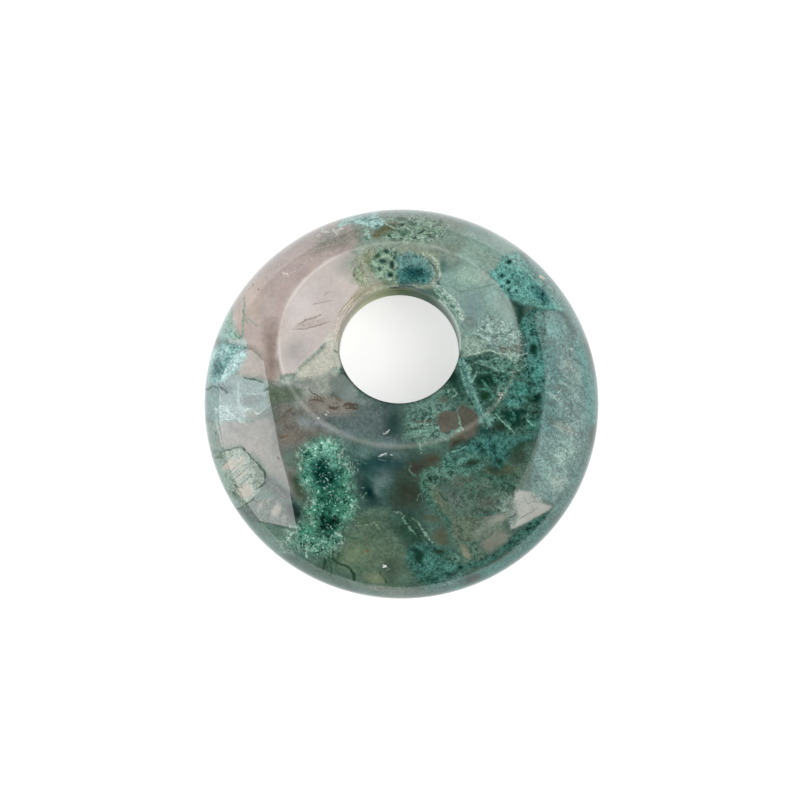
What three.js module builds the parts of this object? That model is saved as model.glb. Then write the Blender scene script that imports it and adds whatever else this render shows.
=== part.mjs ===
// A polished ring of moss agate, 18 mm across, with its bore drilled off centre.
// It is one stone. Both faces are alike: a flat land round the bore, then a flank that
// falls away in a dome to a rounded girdle at half height.
// Millimetres. The stone lies on its back land: the origin is under the middle of its
// outline, +Z points up out of the front land and +Y points towards the bore.
import * as THREE from "three";

// Driving dimensions
const stone = { width: 18.0, depth: 17.8, thickness: 6.0 };
const bore = { x: -0.12, y: 2.52, width: 5.48, depth: 5.28 };
const land = { x: -0.14, y: 2.42, width: 10.8, depth: 9.28 };
const rimRound = 0.08; // polished edge where the bore meets a land
const shoulderAngle = 12; // degrees of the flank's quarter turn left out at the land
const flankFullness = 2.3; // 2 makes the flank an ellipse, and more makes it squarer

// How finely the surface is divided
const segments = 120; // points round each loop
const rimSteps = 3;
const flankSteps = 14;

const halfThickness = stone.thickness / 2;

// An ellipse seen from above, grown by a margin all round.
function ellipse({ x, y, width, depth }, margin = 0) {
  return new THREE.EllipseCurve(x, y, width / 2 + margin, depth / 2 + margin);
}

const boreEdge = ellipse(bore);
const rimEdge = ellipse(bore, rimRound);
const landEdge = ellipse(land);
const outline = ellipse({ x: 0, y: 0, ...stone });

// A loop lies at a share of the way from one ellipse to another, at a height above the
// stone's middle plane.
const loop = (from, to, share, height) => ({ from, to, share, height });

// The rim is a quarter circle from the bore's wall up to the land.
function rimLoops() {
  return Array.from({ length: rimSteps + 1 }, (_, step) => {
    const turn = (Math.PI / 2) * (step / rimSteps);
    const drop = rimRound * (1 - Math.sin(turn));
    return loop(boreEdge, rimEdge, 1 - Math.cos(turn), halfThickness - drop);
  });
}

// The flank is a quarter of a rounded square from the land's edge down to the girdle. It
// starts a little way round that curve, so a shallow edge stays between it and the land.
function flankLoops() {
  const start = THREE.MathUtils.degToRad(shoulderAngle);
  const out = (turn) => Math.sin(turn) ** (2 / flankFullness);
  const up = (turn) => Math.cos(turn) ** (2 / flankFullness);
  return Array.from({ length: flankSteps + 1 }, (_, step) => {
    const left = 1 - step / flankSteps;
    const turn = Math.PI / 2 - left * (Math.PI / 2 - start);
    const share = (out(turn) - out(start)) / (1 - out(start));
    const height = left > 0 ? (halfThickness * up(turn)) / up(start) : 0;
    return loop(landEdge, outline, share, height);
  });
}

// The upper half runs from the bore out to the girdle, and the lower half back in again.
function stoneLoops() {
  const upper = [...rimLoops(), ...flankLoops()];
  const lower = upper
    .slice(0, -1)
    .reverse()
    .map((one) => ({ ...one, height: -one.height }));
  return [...upper, ...lower];
}

// The loops are joined one to the next, and the last to the first, which is the bore's wall.
function stoneGeometry() {
  const loops = stoneLoops();
  const positions = loops.flatMap(({ from, to, share, height }) =>
    Array.from({ length: segments }, (_, i) => {
      const point = from.getPoint(i / segments).lerp(to.getPoint(i / segments), share);
      return [point.x, point.y, height + halfThickness];
    }).flat(),
  );
  const index = loops.flatMap((_, row) =>
    Array.from({ length: segments }, (_, i) => {
      const next = (row + 1) % loops.length;
      const inner = row * segments + i;
      const innerNext = row * segments + ((i + 1) % segments);
      const outer = next * segments + i;
      const outerNext = next * segments + ((i + 1) % segments);
      return [inner, outer, outerNext, inner, outerNext, innerNext];
    }).flat(),
  );
  const geometry = new THREE.BufferGeometry();
  geometry.setAttribute("position", new THREE.Float32BufferAttribute(positions, 3));
  geometry.setIndex(index);
  geometry.computeVertexNormals();
  return geometry;
}

const mossAgate = new THREE.MeshStandardMaterial({
  color: "#71897f",
  roughness: 0.12,
  metalness: 0,
});

const agateDonut = new THREE.Mesh(stoneGeometry(), mossAgate);
agateDonut.name = "agate_donut";

const part = new THREE.Group();
part.add(agateDonut);

export default part;
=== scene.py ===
import math

import bpy
import numpy as np
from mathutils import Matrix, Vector


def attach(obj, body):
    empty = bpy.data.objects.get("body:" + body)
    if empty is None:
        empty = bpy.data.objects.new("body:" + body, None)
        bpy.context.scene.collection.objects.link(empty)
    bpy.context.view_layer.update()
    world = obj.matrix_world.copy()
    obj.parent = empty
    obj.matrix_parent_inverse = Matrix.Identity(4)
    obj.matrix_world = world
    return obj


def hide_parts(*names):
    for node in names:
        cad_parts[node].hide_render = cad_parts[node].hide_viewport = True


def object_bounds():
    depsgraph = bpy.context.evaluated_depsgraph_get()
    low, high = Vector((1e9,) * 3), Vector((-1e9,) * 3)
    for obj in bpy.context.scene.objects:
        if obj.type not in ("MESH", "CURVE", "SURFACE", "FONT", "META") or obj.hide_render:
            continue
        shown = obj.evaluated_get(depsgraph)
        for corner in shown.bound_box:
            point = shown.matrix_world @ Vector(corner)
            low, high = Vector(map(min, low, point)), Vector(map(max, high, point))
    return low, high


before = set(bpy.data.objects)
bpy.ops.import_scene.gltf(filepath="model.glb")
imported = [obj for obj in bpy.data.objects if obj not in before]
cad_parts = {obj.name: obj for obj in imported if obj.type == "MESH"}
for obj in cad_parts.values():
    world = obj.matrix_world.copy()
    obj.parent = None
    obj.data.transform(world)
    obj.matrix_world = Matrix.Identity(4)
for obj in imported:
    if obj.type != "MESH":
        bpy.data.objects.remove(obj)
cadLow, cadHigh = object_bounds()
print("stage 1: frame loaded")

# Everything below is worked out in millimetres and written into Blender in metres.
mm = 0.001

stone = {
    "width": (cadHigh.x - cadLow.x) / mm,
    "depth": (cadHigh.y - cadLow.y) / mm,
    "thickness": (cadHigh.z - cadLow.z) / mm,
    "bore": (-0.12, 2.52, 5.48, 5.28),    # middle x, y, width, depth
    "land": (-0.14, 2.42, 10.8, 9.28),    # the flat round the bore, on both faces
    "rimRound": 0.08,                     # radius of the polished edge where the bore meets a land
    "shoulderAngle": 12,                  # degrees of the flank's quarter turn left out at the land
    "fullness": 2.3,                      # 2 makes the flank an ellipse, more makes it squarer
    "crowding": 0.9,                      # under 1 sets the flank's loops closer towards the girdle
    "around": 600,                        # points round each loop
    "frontLand": 26, "frontFlank": 78,    # loops across the front, finer because it shows the pattern
    "backLand": 11, "backFlank": 27,
    "rimSteps": 4, "wallSteps": 16,
}
middle = stone["thickness"] / 2


# Small helpers

def linear(hexColour):                   # sRGB hex to linear red, green, blue
    values = np.array([int(hexColour[i:i + 2], 16) for i in (1, 3, 5)]) / 255
    return np.where(values <= 0.04045, values / 12.92, ((values + 0.055) / 1.055) ** 2.4)


def eased(low, high, value):             # 0 below low, 1 above high, an S curve between
    t = np.clip((value - low) / (high - low), 0, 1)
    return t * t * (3 - 2 * t)


def latticeNoise(points, grain, seed):
    # random numbers from -1 to 1 at the corners of cubes of side grain, eased between corners
    size = 32
    corners = np.random.default_rng(seed).uniform(-1, 1, (size, size, size))
    cell = points / grain
    base = np.floor(cell).astype(int)
    part = eased(0, 1, cell - base)
    total = np.zeros(len(points))
    for corner in np.ndindex(2, 2, 2):
        weight = np.prod(np.where(corner, part, 1 - part), axis=1)
        i, j, k = ((base + corner) % size).T
        total += weight * corners[i, j, k]
    return total


def cloudNoise(points, grain, seed):
    # three octaves of lattice noise, each half the size and strength of the one before, over their sum
    octaves = range(3)
    strength = sum(1 / 2 ** n for n in octaves)
    return sum(latticeNoise(points, grain / 2 ** n, seed + n) / 2 ** n for n in octaves) / strength


def insideDistance(spots, outline):
    # distance to the nearest edge of a closed outline, positive inside it
    start = np.array(outline, float)
    edge = np.roll(start, -1, axis=0) - start
    reach = spots[:, None] - start
    along = np.clip((reach * edge).sum(2) / (edge ** 2).sum(1), 0, 1)
    distance = np.linalg.norm(reach - along[..., None] * edge, axis=2).min(1)
    above = reach[..., 1] >= 0
    slope = edge[:, 0] / np.where(edge[:, 1] == 0, 1e-9, edge[:, 1])
    left = reach[..., 0] < reach[..., 1] * slope
    crossings = ((above != np.roll(above, -1, axis=1)) & left).sum(1)
    return np.where(crossings % 2 == 1, distance, -distance)


def ovalDistance(spots, oval):
    # about the distance to an ellipse's edge, positive inside it: one less the share of the way out from
    # its middle, times its smaller half width. An oval is x, y, half width, half depth, degrees.
    x, y, wide, deep, turn = oval
    c, s = math.cos(math.radians(turn)), math.sin(math.radians(turn))
    dx, dy = spots[:, 0] - x, spots[:, 1] - y
    share = np.hypot((dx * c + dy * s) / wide, (dy * c - dx * s) / deep)
    return (1 - share) * min(wide, deep)


def distanceToLine(spots, line):
    # distance to the nearest piece of an open line, how far along the line that is, and which side it is
    # on (-1 or 1), from the sign of the cross product
    start, edge = line[:-1], np.diff(line, axis=0)
    length = np.linalg.norm(edge, axis=1)
    reach = spots[:, None] - start
    along = np.clip((reach * edge).sum(2) / length ** 2, 0, 1)
    gap = np.linalg.norm(reach - along[..., None] * edge, axis=2)
    nearest = gap.argmin(1)
    row = np.arange(len(spots))
    travelled = np.concatenate([[0], np.cumsum(length)])
    way = travelled[nearest] + along[row, nearest] * length[nearest]
    cross = edge[nearest, 0] * reach[row, nearest, 1] - edge[nearest, 1] * reach[row, nearest, 0]
    return gap[row, nearest], way, np.sign(cross)


def wanderingLine(points, wiggle, seed):
    # a line through a few points, cut into short steps and pushed aside by smooth noise
    points = np.array(points, float)
    travelled = np.concatenate([[0], np.cumsum(np.linalg.norm(np.diff(points, axis=0), axis=1))])
    steps = np.linspace(0, travelled[-1], max(3, int(travelled[-1] / pattern["lineStep"]) + 1))
    line = np.stack([np.interp(steps, travelled, points[:, k]) for k in (0, 1)], axis=1)
    flat = np.column_stack([line, np.zeros(len(line))])
    push = np.stack([cloudNoise(flat, pattern["lineBend"], seed + more) for more in (0, 50)], axis=1)
    return line + wiggle * push


# The stone's surface

def ellipseLoop(oval, angle, margin=0.0):
    # middle plus half width times cosine, and half depth times sine, grown by a margin all round
    x, y, width, depth = oval
    return np.stack([
        x + (width / 2 + margin) * np.cos(angle),
        y + (depth / 2 + margin) * np.sin(angle),
    ], axis=1)


def faceLoops(landSteps, flankSteps):
    # one face from the bore's wall out to the girdle, as rows of (which pair of ellipses, share between
    # them, height above the middle plane): a quarter circle, a flat, then a quarter of a rounded square
    turn = np.linspace(0, np.pi / 2, stone["rimSteps"] + 1)
    drop = stone["rimRound"] * (1 - np.sin(turn))
    rows = [(0, 1 - math.cos(t), middle - d) for t, d in zip(turn, drop)]
    rows += [(1, share, middle) for share in np.linspace(0, 1, landSteps + 1)[1:-1]]
    start = math.radians(stone["shoulderAngle"])
    out = lambda t: np.sin(t) ** (2 / stone["fullness"])
    up = lambda t: np.clip(np.cos(t), 0, 1) ** (2 / stone["fullness"])
    even = np.linspace(0, 1, flankSteps + 1)
    turn = start + (np.pi / 2 - start) * even ** stone["crowding"]
    share = (out(turn) - out(start)) / (1 - out(start))
    height = middle * up(turn) / up(start)
    height[-1] = 0
    return rows + list(zip([2] * len(turn), share, height))


def stonePoints():
    # every loop lies at a share of the way from one ellipse to the next, at its own height: the front out
    # to the girdle, the back in again, and the wall up to where it began
    front = faceLoops(stone["frontLand"], stone["frontFlank"])
    back = faceLoops(stone["backLand"], stone["backFlank"])[:-1][::-1]
    wallTop = middle - stone["rimRound"]
    wall = [(0, 0.0, z) for z in np.linspace(-wallTop, wallTop, stone["wallSteps"] + 1)[1:-1]]
    rows = front + [(pair, share, -height) for pair, share, height in back] + wall
    pair, share, height = (np.array(column) for column in zip(*rows))
    angle = np.linspace(0, 2 * np.pi, stone["around"], endpoint=False)
    outline = (0, 0, stone["width"], stone["depth"])
    ellipses = np.stack([
        ellipseLoop(stone["bore"], angle),
        ellipseLoop(stone["bore"], angle, stone["rimRound"]),
        ellipseLoop(stone["land"], angle),
        ellipseLoop(outline, angle),
    ])
    near, far = ellipses[pair], ellipses[pair + 1]
    flat = near + (far - near) * share[:, None, None]
    z = np.broadcast_to((height + middle)[:, None, None], flat.shape[:2] + (1,))
    inBore = np.repeat((pair == 0) & (share == 0), stone["around"])
    return np.concatenate([flat, z], axis=2), inBore


def closedMesh(name, grid):
    # a grid of points that joins up with itself both ways
    rows, columns = grid.shape[:2]
    mesh = bpy.data.meshes.new(name)
    i, j = np.meshgrid(np.arange(rows), np.arange(columns), indexing="ij")
    nextRow, nextColumn = (i + 1) % rows, (j + 1) % columns
    quads = np.stack([i * columns + j, nextRow * columns + j, nextRow * columns + nextColumn,
                      i * columns + nextColumn], axis=-1).reshape(-1, 4)
    mesh.from_pydata(grid.reshape(-1, 3) * mm, [], quads)
    mesh.polygons.foreach_set("use_smooth", np.ones(len(quads), bool))
    mesh.update()
    return mesh


grid, inBore = stonePoints()
stoneMesh = closedMesh("mossAgateDonut", grid)
points = grid.reshape(-1, 3)
onWall = inBore & np.roll(inBore, -stone["around"])    # quads with both their loops on the bore's wall
print("stage 2: stone surface,", len(points), "points")

# The pattern lies on a plane that leans 3 degrees with the line of sight. The lower half of the stone
# carries it on, pushed aside more and more, so that the back is a different slice of the same growths.
pattern = {
    "lean": (0.007, 0.0524),    # mm aside for each mm of height
    "slant": (1.9, -1.3),       # mm aside at the back, and
    "stir": 1.1,                # how far noise pushes it about there
    "stirGrain": 2.4,           # mm
    "depths": (-1.2, 3.0),      # mm under the middle plane where the back's slice begins and is whole
    "lampGain": 1.5,            # what the lamps make of white: the tones below are as seen
    "veil": 0.002,              # the little that the polish adds to every tone
    "ground": "#4f6b60",        # where no cloud lies
    "edgeStir": 0.09,           # how far the clouds' edges are pushed about
    "edgeGrain": 0.5,           # mm
    "raggedGrain": 0.9,         # mm from bay to bay of a ragged edge, and
    "bristleGrain": 0.3,        # of the plume's
    "lineReach": 0.24,          # how far from a thread its width and colour are written
    "lineStep": 0.12,           # mm from one point of a thread to the next
    "lineWander": 0.05,         # how far a thread strays
    "lineBend": 0.55,           # and over how many mm
}


def patternPlane(points):
    # x and y, plus the lean times the height, plus the slant and a noise times how deep the point lies
    height = points[:, 2] - middle
    depth = eased(*pattern["depths"], -height)[:, None]
    noise = np.stack([cloudNoise(points, pattern["stirGrain"], seed) for seed in (11, 31)], axis=1)
    lean = height[:, None] * np.array(pattern["lean"])
    return points[:, :2] + lean + depth * (np.array(pattern["slant"]) + pattern["stir"] * noise)


spots = patternPlane(points)
ragged = cloudNoise(points, pattern["raggedGrain"], 3)
bristling = cloudNoise(points, pattern["bristleGrain"], 8)

# How a cloud is filled: how much moss is in it (0.5 is fine dust, 0.8 and more is coarse), how far that
# is netted and not grainy, and how far it is sparkling crystals.
fillings = {
    "clear": (0.0, 0.0, 0.0), "haze": (0.22, 0.3, 0.0), "dusty": (0.5, 0.0, 0.0),
    "grainy": (1.0, 0.0, 0.0), "tangled": (1.0, 0.5, 0.0), "netted": (0.9, 1.0, 0.0),
    "veiled": (0.55, 0.8, 0.0), "mossy": (0.8, 0.0, 0.0), "crystals": (1.0, 0.0, 1.0),
}

# The plume's outline, down its right side and up its left.
plume = [
    (-3.75, -1.65), (-3.45, -1.6), (-3.1, -1.75), (-2.9, -1.95), (-2.75, -2.35), (-2.6, -2.65),
    (-2.35, -2.95), (-2.15, -3.2), (-2.35, -3.5), (-2.3, -3.8), (-2.2, -4.1), (-2.1, -4.5),
    (-2.2, -5.0), (-2.6, -5.3), (-2.65, -5.7), (-2.85, -6.0), (-2.75, -6.45), (-3.1, -6.7),
    (-3.5, -6.6), (-4.0, -6.7), (-4.5, -6.65), (-4.85, -6.4), (-4.75, -6.1), (-5.05, -5.85),
    (-4.75, -5.65), (-4.3, -5.6), (-3.95, -5.35), (-4.1, -5.1), (-4.35, -4.9), (-4.1, -4.7),
    (-3.95, -4.4), (-4.05, -4.05), (-4.2, -3.8), (-4.45, -3.5), (-4.55, -3.15), (-4.4, -2.85),
    (-4.5, -2.5), (-4.6, -2.2), (-4.25, -2.1), (-4.0, -1.85),
]

# Clouds and growths, painted one over the other: tone as seen, filling, an outline or an oval (x, y,
# half width, half depth, degrees), softness of the edge, raggedness.
clouds = [
    # smoky green of the lower middle, darker and browner towards the right
    ("#3c5750", "haze", [(-2.6, -1.9), (0.2, -2.0), (1.3, -2.6), (1.0, -4.4), (0.6, -5.2), (-1.4, -5.2),
        (-2.4, -4.6)], 0.9, 0.3),
    ("#61716f", "haze", [(-4.8, -0.2), (-2.3, 0.5), (-1.2, 0.1), (0.0, -0.1), (-0.2, -1.9),
        (-3.0, -1.5), (-4.2, -0.8)], 0.6, 0.2),
    ("#2b4743", "clear", (-0.35, -0.9, 0.4, 1.0, 0), 0.5, 0.2),
    ("#6e8282", "haze", (-0.7, -1.9, 0.6, 0.22, 15), 0.3, 0.2),
    ("#68777b", "clear", (-2.4, -1.4, 0.35, 0.3, 0), 0.3, 0.2),
    ("#3a4b41", "clear", [(-0.2, -2.3), (1.9, -2.3), (1.2, -2.9), (0.9, -3.2), (0.8, -4.8),
        (-0.4, -4.8), (-0.3, -3.4)], 0.5, 0.2),
    ("#072b2b", "clear", (-1.4, -4.05, 0.35, 0.5, 0), 0.35, 0.3),
    ("#1b3f3b", "clear", (-1.4, -2.75, 0.4, 0.25, 0), 0.3, 0.3),
    ("#375852", "haze", (-0.95, -3.3, 0.5, 0.6, 20), 0.3, 0.3),
    ("#5a7170", "haze", (-0.62, -3.35, 0.15, 0.3, 20), 0.2, 0.4),
    ("#536b69", "haze", (-1.05, -4.0, 0.12, 0.15, 0), 0.15, 0.3),
    ("#5f7774", "clear", (-0.95, -3.6, 0.15, 0.12, 0), 0.15, 0.2),
    ("#254749", "clear", (-0.8, -2.6, 0.7, 0.3, 0), 0.4, 0.3),
    ("#363f34", "clear", (0.45, -4.1, 0.6, 0.5, 0), 0.4, 0.3),
    ("#474a40", "clear", (0.75, -3.0, 0.35, 0.3, 0), 0.2, 0.2),
    ("#4f4e40", "clear", (1.4, -2.65, 0.4, 0.25, -20), 0.15, 0.2),
    ("#43413a", "clear", (0.75, -2.95, 0.35, 0.2, 0), 0.15, 0.2),
    ("#455e50", "haze", (-1.3, -5.2, 0.9, 0.35, 5), 0.3, 0.3),
    ("#5c7667", "haze", (-1.15, -4.95, 0.55, 0.1, 5), 0.12, 0.3),
    ("#425646", "clear", (-1.9, -5.28, 0.5, 0.1, 0), 0.15, 0.25),
    ("#27443a", "haze", (-0.4, -5.65, 0.5, 0.3, -25), 0.25, 0.3),
    # warm grey beside the plume
    ("#716f68", "haze", [(-6.0, 0.1), (-4.6, 0.2), (-3.6, -0.6), (-3.0, -1.4), (-4.4, -1.8),
        (-4.9, -2.6), (-4.6, -3.6), (-4.2, -4.4), (-5.0, -4.3), (-5.5, -2.6),
        (-5.7, -1.0)], 0.35, 0.15),
    ("#929c9d", "clear", (-4.2, -0.85, 0.35, 0.2, 0), 0.3, 0.2),
    ("#879092", "haze", (-3.5, -1.0, 0.45, 0.12, -35), 0.2, 0.1),
    ("#7a756a", "clear", (-5.2, -1.6, 0.35, 0.3, 0), 0.25, 0.2),
    ("#5f766b", "clear", (-5.1, -2.5, 0.3, 0.4, 0), 0.3, 0.2),
    ("#42513f", "clear", [(-5.0, -3.3), (-4.5, -3.4), (-4.1, -4.4), (-4.7, -4.4)], 0.2, 0.1),
    # yellow green at the bottom
    ("#5a6f5c", "haze", [(-2.8, -5.6), (-1.0, -5.3), (0.3, -5.8), (0.4, -8.3), (-1.8, -8.2),
        (-3.2, -7.6), (-3.2, -6.4)], 0.7, 0.3),
    ("#4d6554", "haze", (-1.2, -6.1, 0.9, 0.2, 10), 0.25, 0.4),
    ("#6e8266", "clear", (-2.0, -6.8, 0.7, 0.4, 10), 0.4, 0.4),
    ("#4d6250", "haze", (-1.0, -6.75, 0.25, 0.45, 30), 0.25, 0.4),
    ("#6b7f66", "clear", (-2.35, -6.95, 0.3, 0.12, -30), 0.15, 0.3),
    ("#76866a", "clear", (-1.3, -7.95, 0.5, 0.17, -5), 0.2, 0.3),
    ("#4f6a55", "haze", (-1.9, -7.55, 0.35, 0.2, 0), 0.2, 0.3),
    ("#34503c", "haze", (-3.1, -6.9, 0.45, 0.4, 0), 0.3, 0.2),
    ("#495c4e", "clear", (-0.35, -7.4, 0.4, 0.6, 0), 0.4, 0.3),
    ("#587364", "clear", (0.1, -7.9, 0.25, 0.2, 0), 0.2, 0.2),
    ("#304d40", "haze", [(-0.3, -4.9), (0.5, -4.9), (1.1, -5.8), (1.2, -6.4), (0.3, -6.5),
        (-0.3, -6.0)], 0.4, 0.3),
    ("#4e6457", "haze", (-2.8, -7.75, 0.7, 0.3, -20), 0.3, 0.2),
    ("#2b4835", "haze", (-3.4, -7.2, 0.15, 0.35, 0), 0.15, 0.25),
    # moss sheet of the lower right: green at its edges, grey brown inside
    ("#50695c", "veiled", [(1.1, -3.1), (2.0, -2.9), (3.0, -3.1), (3.6, -3.2), (4.4, -3.1), (5.4, -2.4),
        (6.0, -1.8), (6.0, -3.0), (5.4, -4.0), (4.7, -4.9), (4.0, -5.1), (3.4, -5.1), (2.2, -4.9),
        (1.6, -4.8), (1.2, -4.2), (0.95, -3.5)], 0.15, 0.15),
    ("#4c6e60", "tangled", [(0.9, -3.1), (1.6, -2.9), (2.6, -2.9), (2.3, -3.4), (1.6, -3.6),
        (1.5, -4.2), (1.9, -4.8), (1.5, -4.8), (1.0, -4.0)], 0.2, 0.3),
    ("#4c6459", "haze", (2.25, -3.95, 0.4, 0.35, -10), 0.25, 0.4),
    ("#586558", "haze", (3.3, -3.65, 0.5, 0.25, -10), 0.2, 0.4),
    ("#5f7a6c", "veiled", (4.5, -4.15, 0.4, 0.3, 0), 0.2, 0.2),
    ("#5f6f66", "dusty", (2.5, -4.4, 0.5, 0.25, -20), 0.2, 0.3),
    ("#667460", "haze", (1.85, -4.4, 0.2, 0.55, 35), 0.2, 0.2),
    ("#3f5c4e", "netted", (4.5, -3.5, 0.7, 0.3, -20), 0.2, 0.3),
    ("#4e5a46", "haze", (4.6, -2.95, 0.7, 0.18, 0), 0.12, 0.2),
    ("#3b4e41", "haze", (5.35, -2.3, 0.4, 0.28, 30), 0.12, 0.2),
    ("#616e62", "haze", (3.8, -4.4, 0.45, 0.3, -10), 0.2, 0.4),
    ("#6f877c", "tangled", (4.65, -4.65, 0.35, 0.28, 30), 0.15, 0.25),
    ("#61705f", "veiled", [(2.2, -4.9), (3.4, -5.1), (4.4, -5.1), (4.6, -5.7), (3.6, -6.3), (2.6, -6.4),
        (2.3, -5.8)], 0.3, 0.2),
    ("#7b8b7e", "haze", (3.9, -5.75, 0.55, 0.3, 20), 0.3, 0.3),
    ("#728175", "haze", (4.0, -5.2, 0.35, 0.12, 20), 0.15, 0.2),
    ("#949a8e", "clear", (4.45, -5.18, 0.4, 0.12, 20), 0.12, 0.15),
    ("#848a7c", "clear", [(3.65, -6.5), (3.7, -6.1), (4.4, -5.8), (5.1, -5.85), (4.9, -6.2),
        (4.1, -6.75)], 0.2, 0.2),
    ("#516b59", "tangled", [(3.0, -6.9), (3.4, -6.3), (3.6, -6.5), (4.0, -6.9),
        (3.6, -7.1)], 0.15, 0.2),
    ("#565f4e", "clear", [(1.4, -5.8), (1.9, -5.5), (2.15, -5.7), (2.2, -6.3), (1.9, -6.45),
        (1.5, -6.2)], 0.1, 0.1),
    ("#525c4c", "clear", (1.5, -5.2, 0.35, 0.14, 0), 0.12, 0.1),
    ("#8a8d78", "clear", (2.95, -6.7, 0.17, 0.35, 25), 0.1, 0.15),
    # cells and windows below the bore
    ("#5c7c70", "netted", [(0.3, 0.2), (1.8, 0.2), (2.3, 0.0), (3.6, 0.0), (3.8, -0.8), (3.4, -1.0),
        (2.2, -1.4), (1.6, -1.7), (0.8, -1.9), (0.2, -1.4)], 0.3, 0.2),
    ("#3f5a50", "clear", (1.08, -0.45, 0.13, 0.1, 0), 0.06, 0.1),
    ("#5d6257", "clear", (1.05, -0.82, 0.35, 0.06, 5), 0.05, 0.1),
    ("#565a4c", "clear", (1.05, -1.58, 0.3, 0.1, -10), 0.06, 0.1),
    ("#636156", "clear", [(1.7, -0.45), (2.1, -0.25), (2.66, -0.3), (2.7, -0.8), (2.55, -1.15),
        (1.9, -1.25), (1.62, -0.9)], 0.05, 0.06),
    ("#5c5a51", "clear", [(2.55, -0.2), (2.8, 0.05), (3.0, -0.15), (3.3, -0.25), (3.62, -0.6),
        (3.5, -0.95), (3.1, -1.3), (2.7, -1.3), (2.62, -0.8)], 0.06, 0.06),
    ("#5a5d50", "clear", (1.95, 0.22, 0.17, 0.13, 30), 0.06, 0.1),
    ("#5f5e52", "clear", [(2.15, -1.75), (2.7, -1.2), (3.3, -0.95), (3.55, -1.1), (3.45, -1.5),
        (2.8, -1.75), (2.3, -2.05)], 0.1, 0.08),
    ("#34382d", "clear", [(2.15, -1.95), (2.9, -1.62), (3.4, -1.45), (3.3, -1.65), (2.7, -1.85),
        (2.3, -2.1)], 0.08, 0.08),
    # dark teal between the bore and the thicket
    ("#35584c", "netted", [(1.9, 0.6), (2.4, 1.4), (2.7, 2.2), (3.3, 2.2), (4.6, 2.3), (5.4, 2.1),
        (5.6, 1.0), (6.4, 0.5), (6.4, -1.3), (5.3, -1.4), (3.6, -1.3), (3.6, -0.2), (3.0, 0.0),
        (2.3, 0.1)], 0.15, 0.15),
    ("#1f3b33", "clear", (2.3, 1.25, 0.25, 0.3, 30), 0.12, 0.15),
    ("#2b4c41", "clear", (2.55, 0.75, 0.25, 0.2, 0), 0.15, 0.15),
    ("#223f37", "clear", (3.7, 1.85, 0.4, 0.17, -25), 0.1, 0.15),
    ("#18392d", "clear", (3.85, 1.1, 0.4, 0.25, 10), 0.12, 0.2),
    ("#1f402d", "clear", (3.8, 0.4, 0.28, 0.25, 0), 0.1, 0.2),
    ("#1d3a31", "clear", (4.45, 0.95, 0.2, 0.25, 0), 0.1, 0.15),
    ("#567c70", "netted", [(3.4, 1.95), (4.2, 1.6), (5.0, 1.45), (5.35, 1.7), (5.3, 2.1), (4.7, 2.2),
        (4.0, 2.0)], 0.12, 0.1),
    ("#47857a", "mossy", (5.35, 0.7, 0.45, 0.35, 0), 0.2, 0.2),
    ("#4a8479", "grainy", (5.15, 0.12, 0.45, 0.22, 0), 0.15, 0.2),
    ("#5e8176", "netted", (3.9, -0.6, 0.3, 0.45, 10), 0.15, 0.2),
    ("#234a42", "clear", (3.85, -1.15, 0.25, 0.15, 0), 0.12, 0.15),
    ("#153a31", "clear", [(4.5, -0.2), (5.2, -0.2), (6.0, -0.25), (5.9, -0.4), (5.5, -0.5), (5.5, -1.0),
        (5.1, -1.1), (4.7, -0.7)], 0.08, 0.12),
    ("#283f35", "clear", (4.5, -1.0, 0.3, 0.25, -30), 0.1, 0.12),
    ("#3f7668", "netted", (6.0, -0.85, 0.3, 0.4, 0), 0.15, 0.2),
    ("#1d4238", "clear", (6.0, -0.65, 0.14, 0.1, 0), 0.05, 0.08),
    ("#12352c", "clear", (6.1, 0.3, 0.3, 0.22, 0), 0.12, 0.1),
    ("#55847a", "mossy", [(2.55, 2.1), (2.85, 2.1), (3.1, 1.5), (3.25, 1.0), (3.45, 0.5), (3.65, 0.0),
        (3.9, -0.5), (4.1, -0.85), (3.75, -0.75), (3.4, -0.35), (3.2, 0.1), (3.0, 0.6), (2.8, 1.1),
        (2.65, 1.6)], 0.06, 0.08),
    # cell cluster under it
    ("#3b6c63", "mossy", [(3.0, -1.8), (3.6, -1.4), (4.4, -1.3), (5.3, -1.4), (6.2, -1.2), (6.0, -1.6),
        (5.2, -1.8), (4.9, -2.3), (4.5, -2.8), (4.1, -2.7), (3.9, -2.4), (3.3, -2.2), (2.5, -2.3),
        (2.0, -2.5), (2.4, -2.1)], 0.12, 0.2),
    ("#356760", "grainy", (4.2, -1.9, 0.6, 0.3, 0), 0.2, 0.2),
    ("#183a34", "clear", (3.7, -2.1, 0.13, 0.08, 0), 0.05, 0.06),
    ("#183a34", "clear", (4.2, -1.9, 0.09, 0.13, 0), 0.05, 0.06),
    ("#1c3a30", "clear", (4.48, -2.55, 0.13, 0.1, 0), 0.05, 0.06),
    ("#2f4b3b", "clear", (5.5, -1.85, 0.5, 0.15, 25), 0.1, 0.12),
    ("#4c7a6c", "netted", [(1.8, -2.7), (2.3, -2.3), (3.4, -2.2), (3.9, -2.5), (3.7, -2.9), (3.0, -3.1),
        (2.0, -2.95)], 0.12, 0.12),
    ("#26382c", "clear", [(2.75, -2.75), (3.0, -2.5), (3.5, -2.45), (3.75, -2.6),
        (3.3, -2.85)], 0.08, 0.15),
    ("#2c4033", "haze", (4.25, -2.95, 0.3, 0.12, -20), 0.1, 0.1),
    # bottom clump
    ("#386559", "mossy", [(0.3, -6.6), (1.0, -6.4), (1.9, -6.5), (2.4, -6.6), (2.6, -7.2), (2.9, -7.5),
        (2.5, -7.9), (2.0, -8.2), (1.4, -8.3), (0.8, -8.2), (0.5, -7.7), (0.2, -7.1)], 0.15, 0.25),
    ("#3f7065", "grainy", (1.35, -7.25, 0.45, 0.3, 0), 0.2, 0.3),
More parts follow.
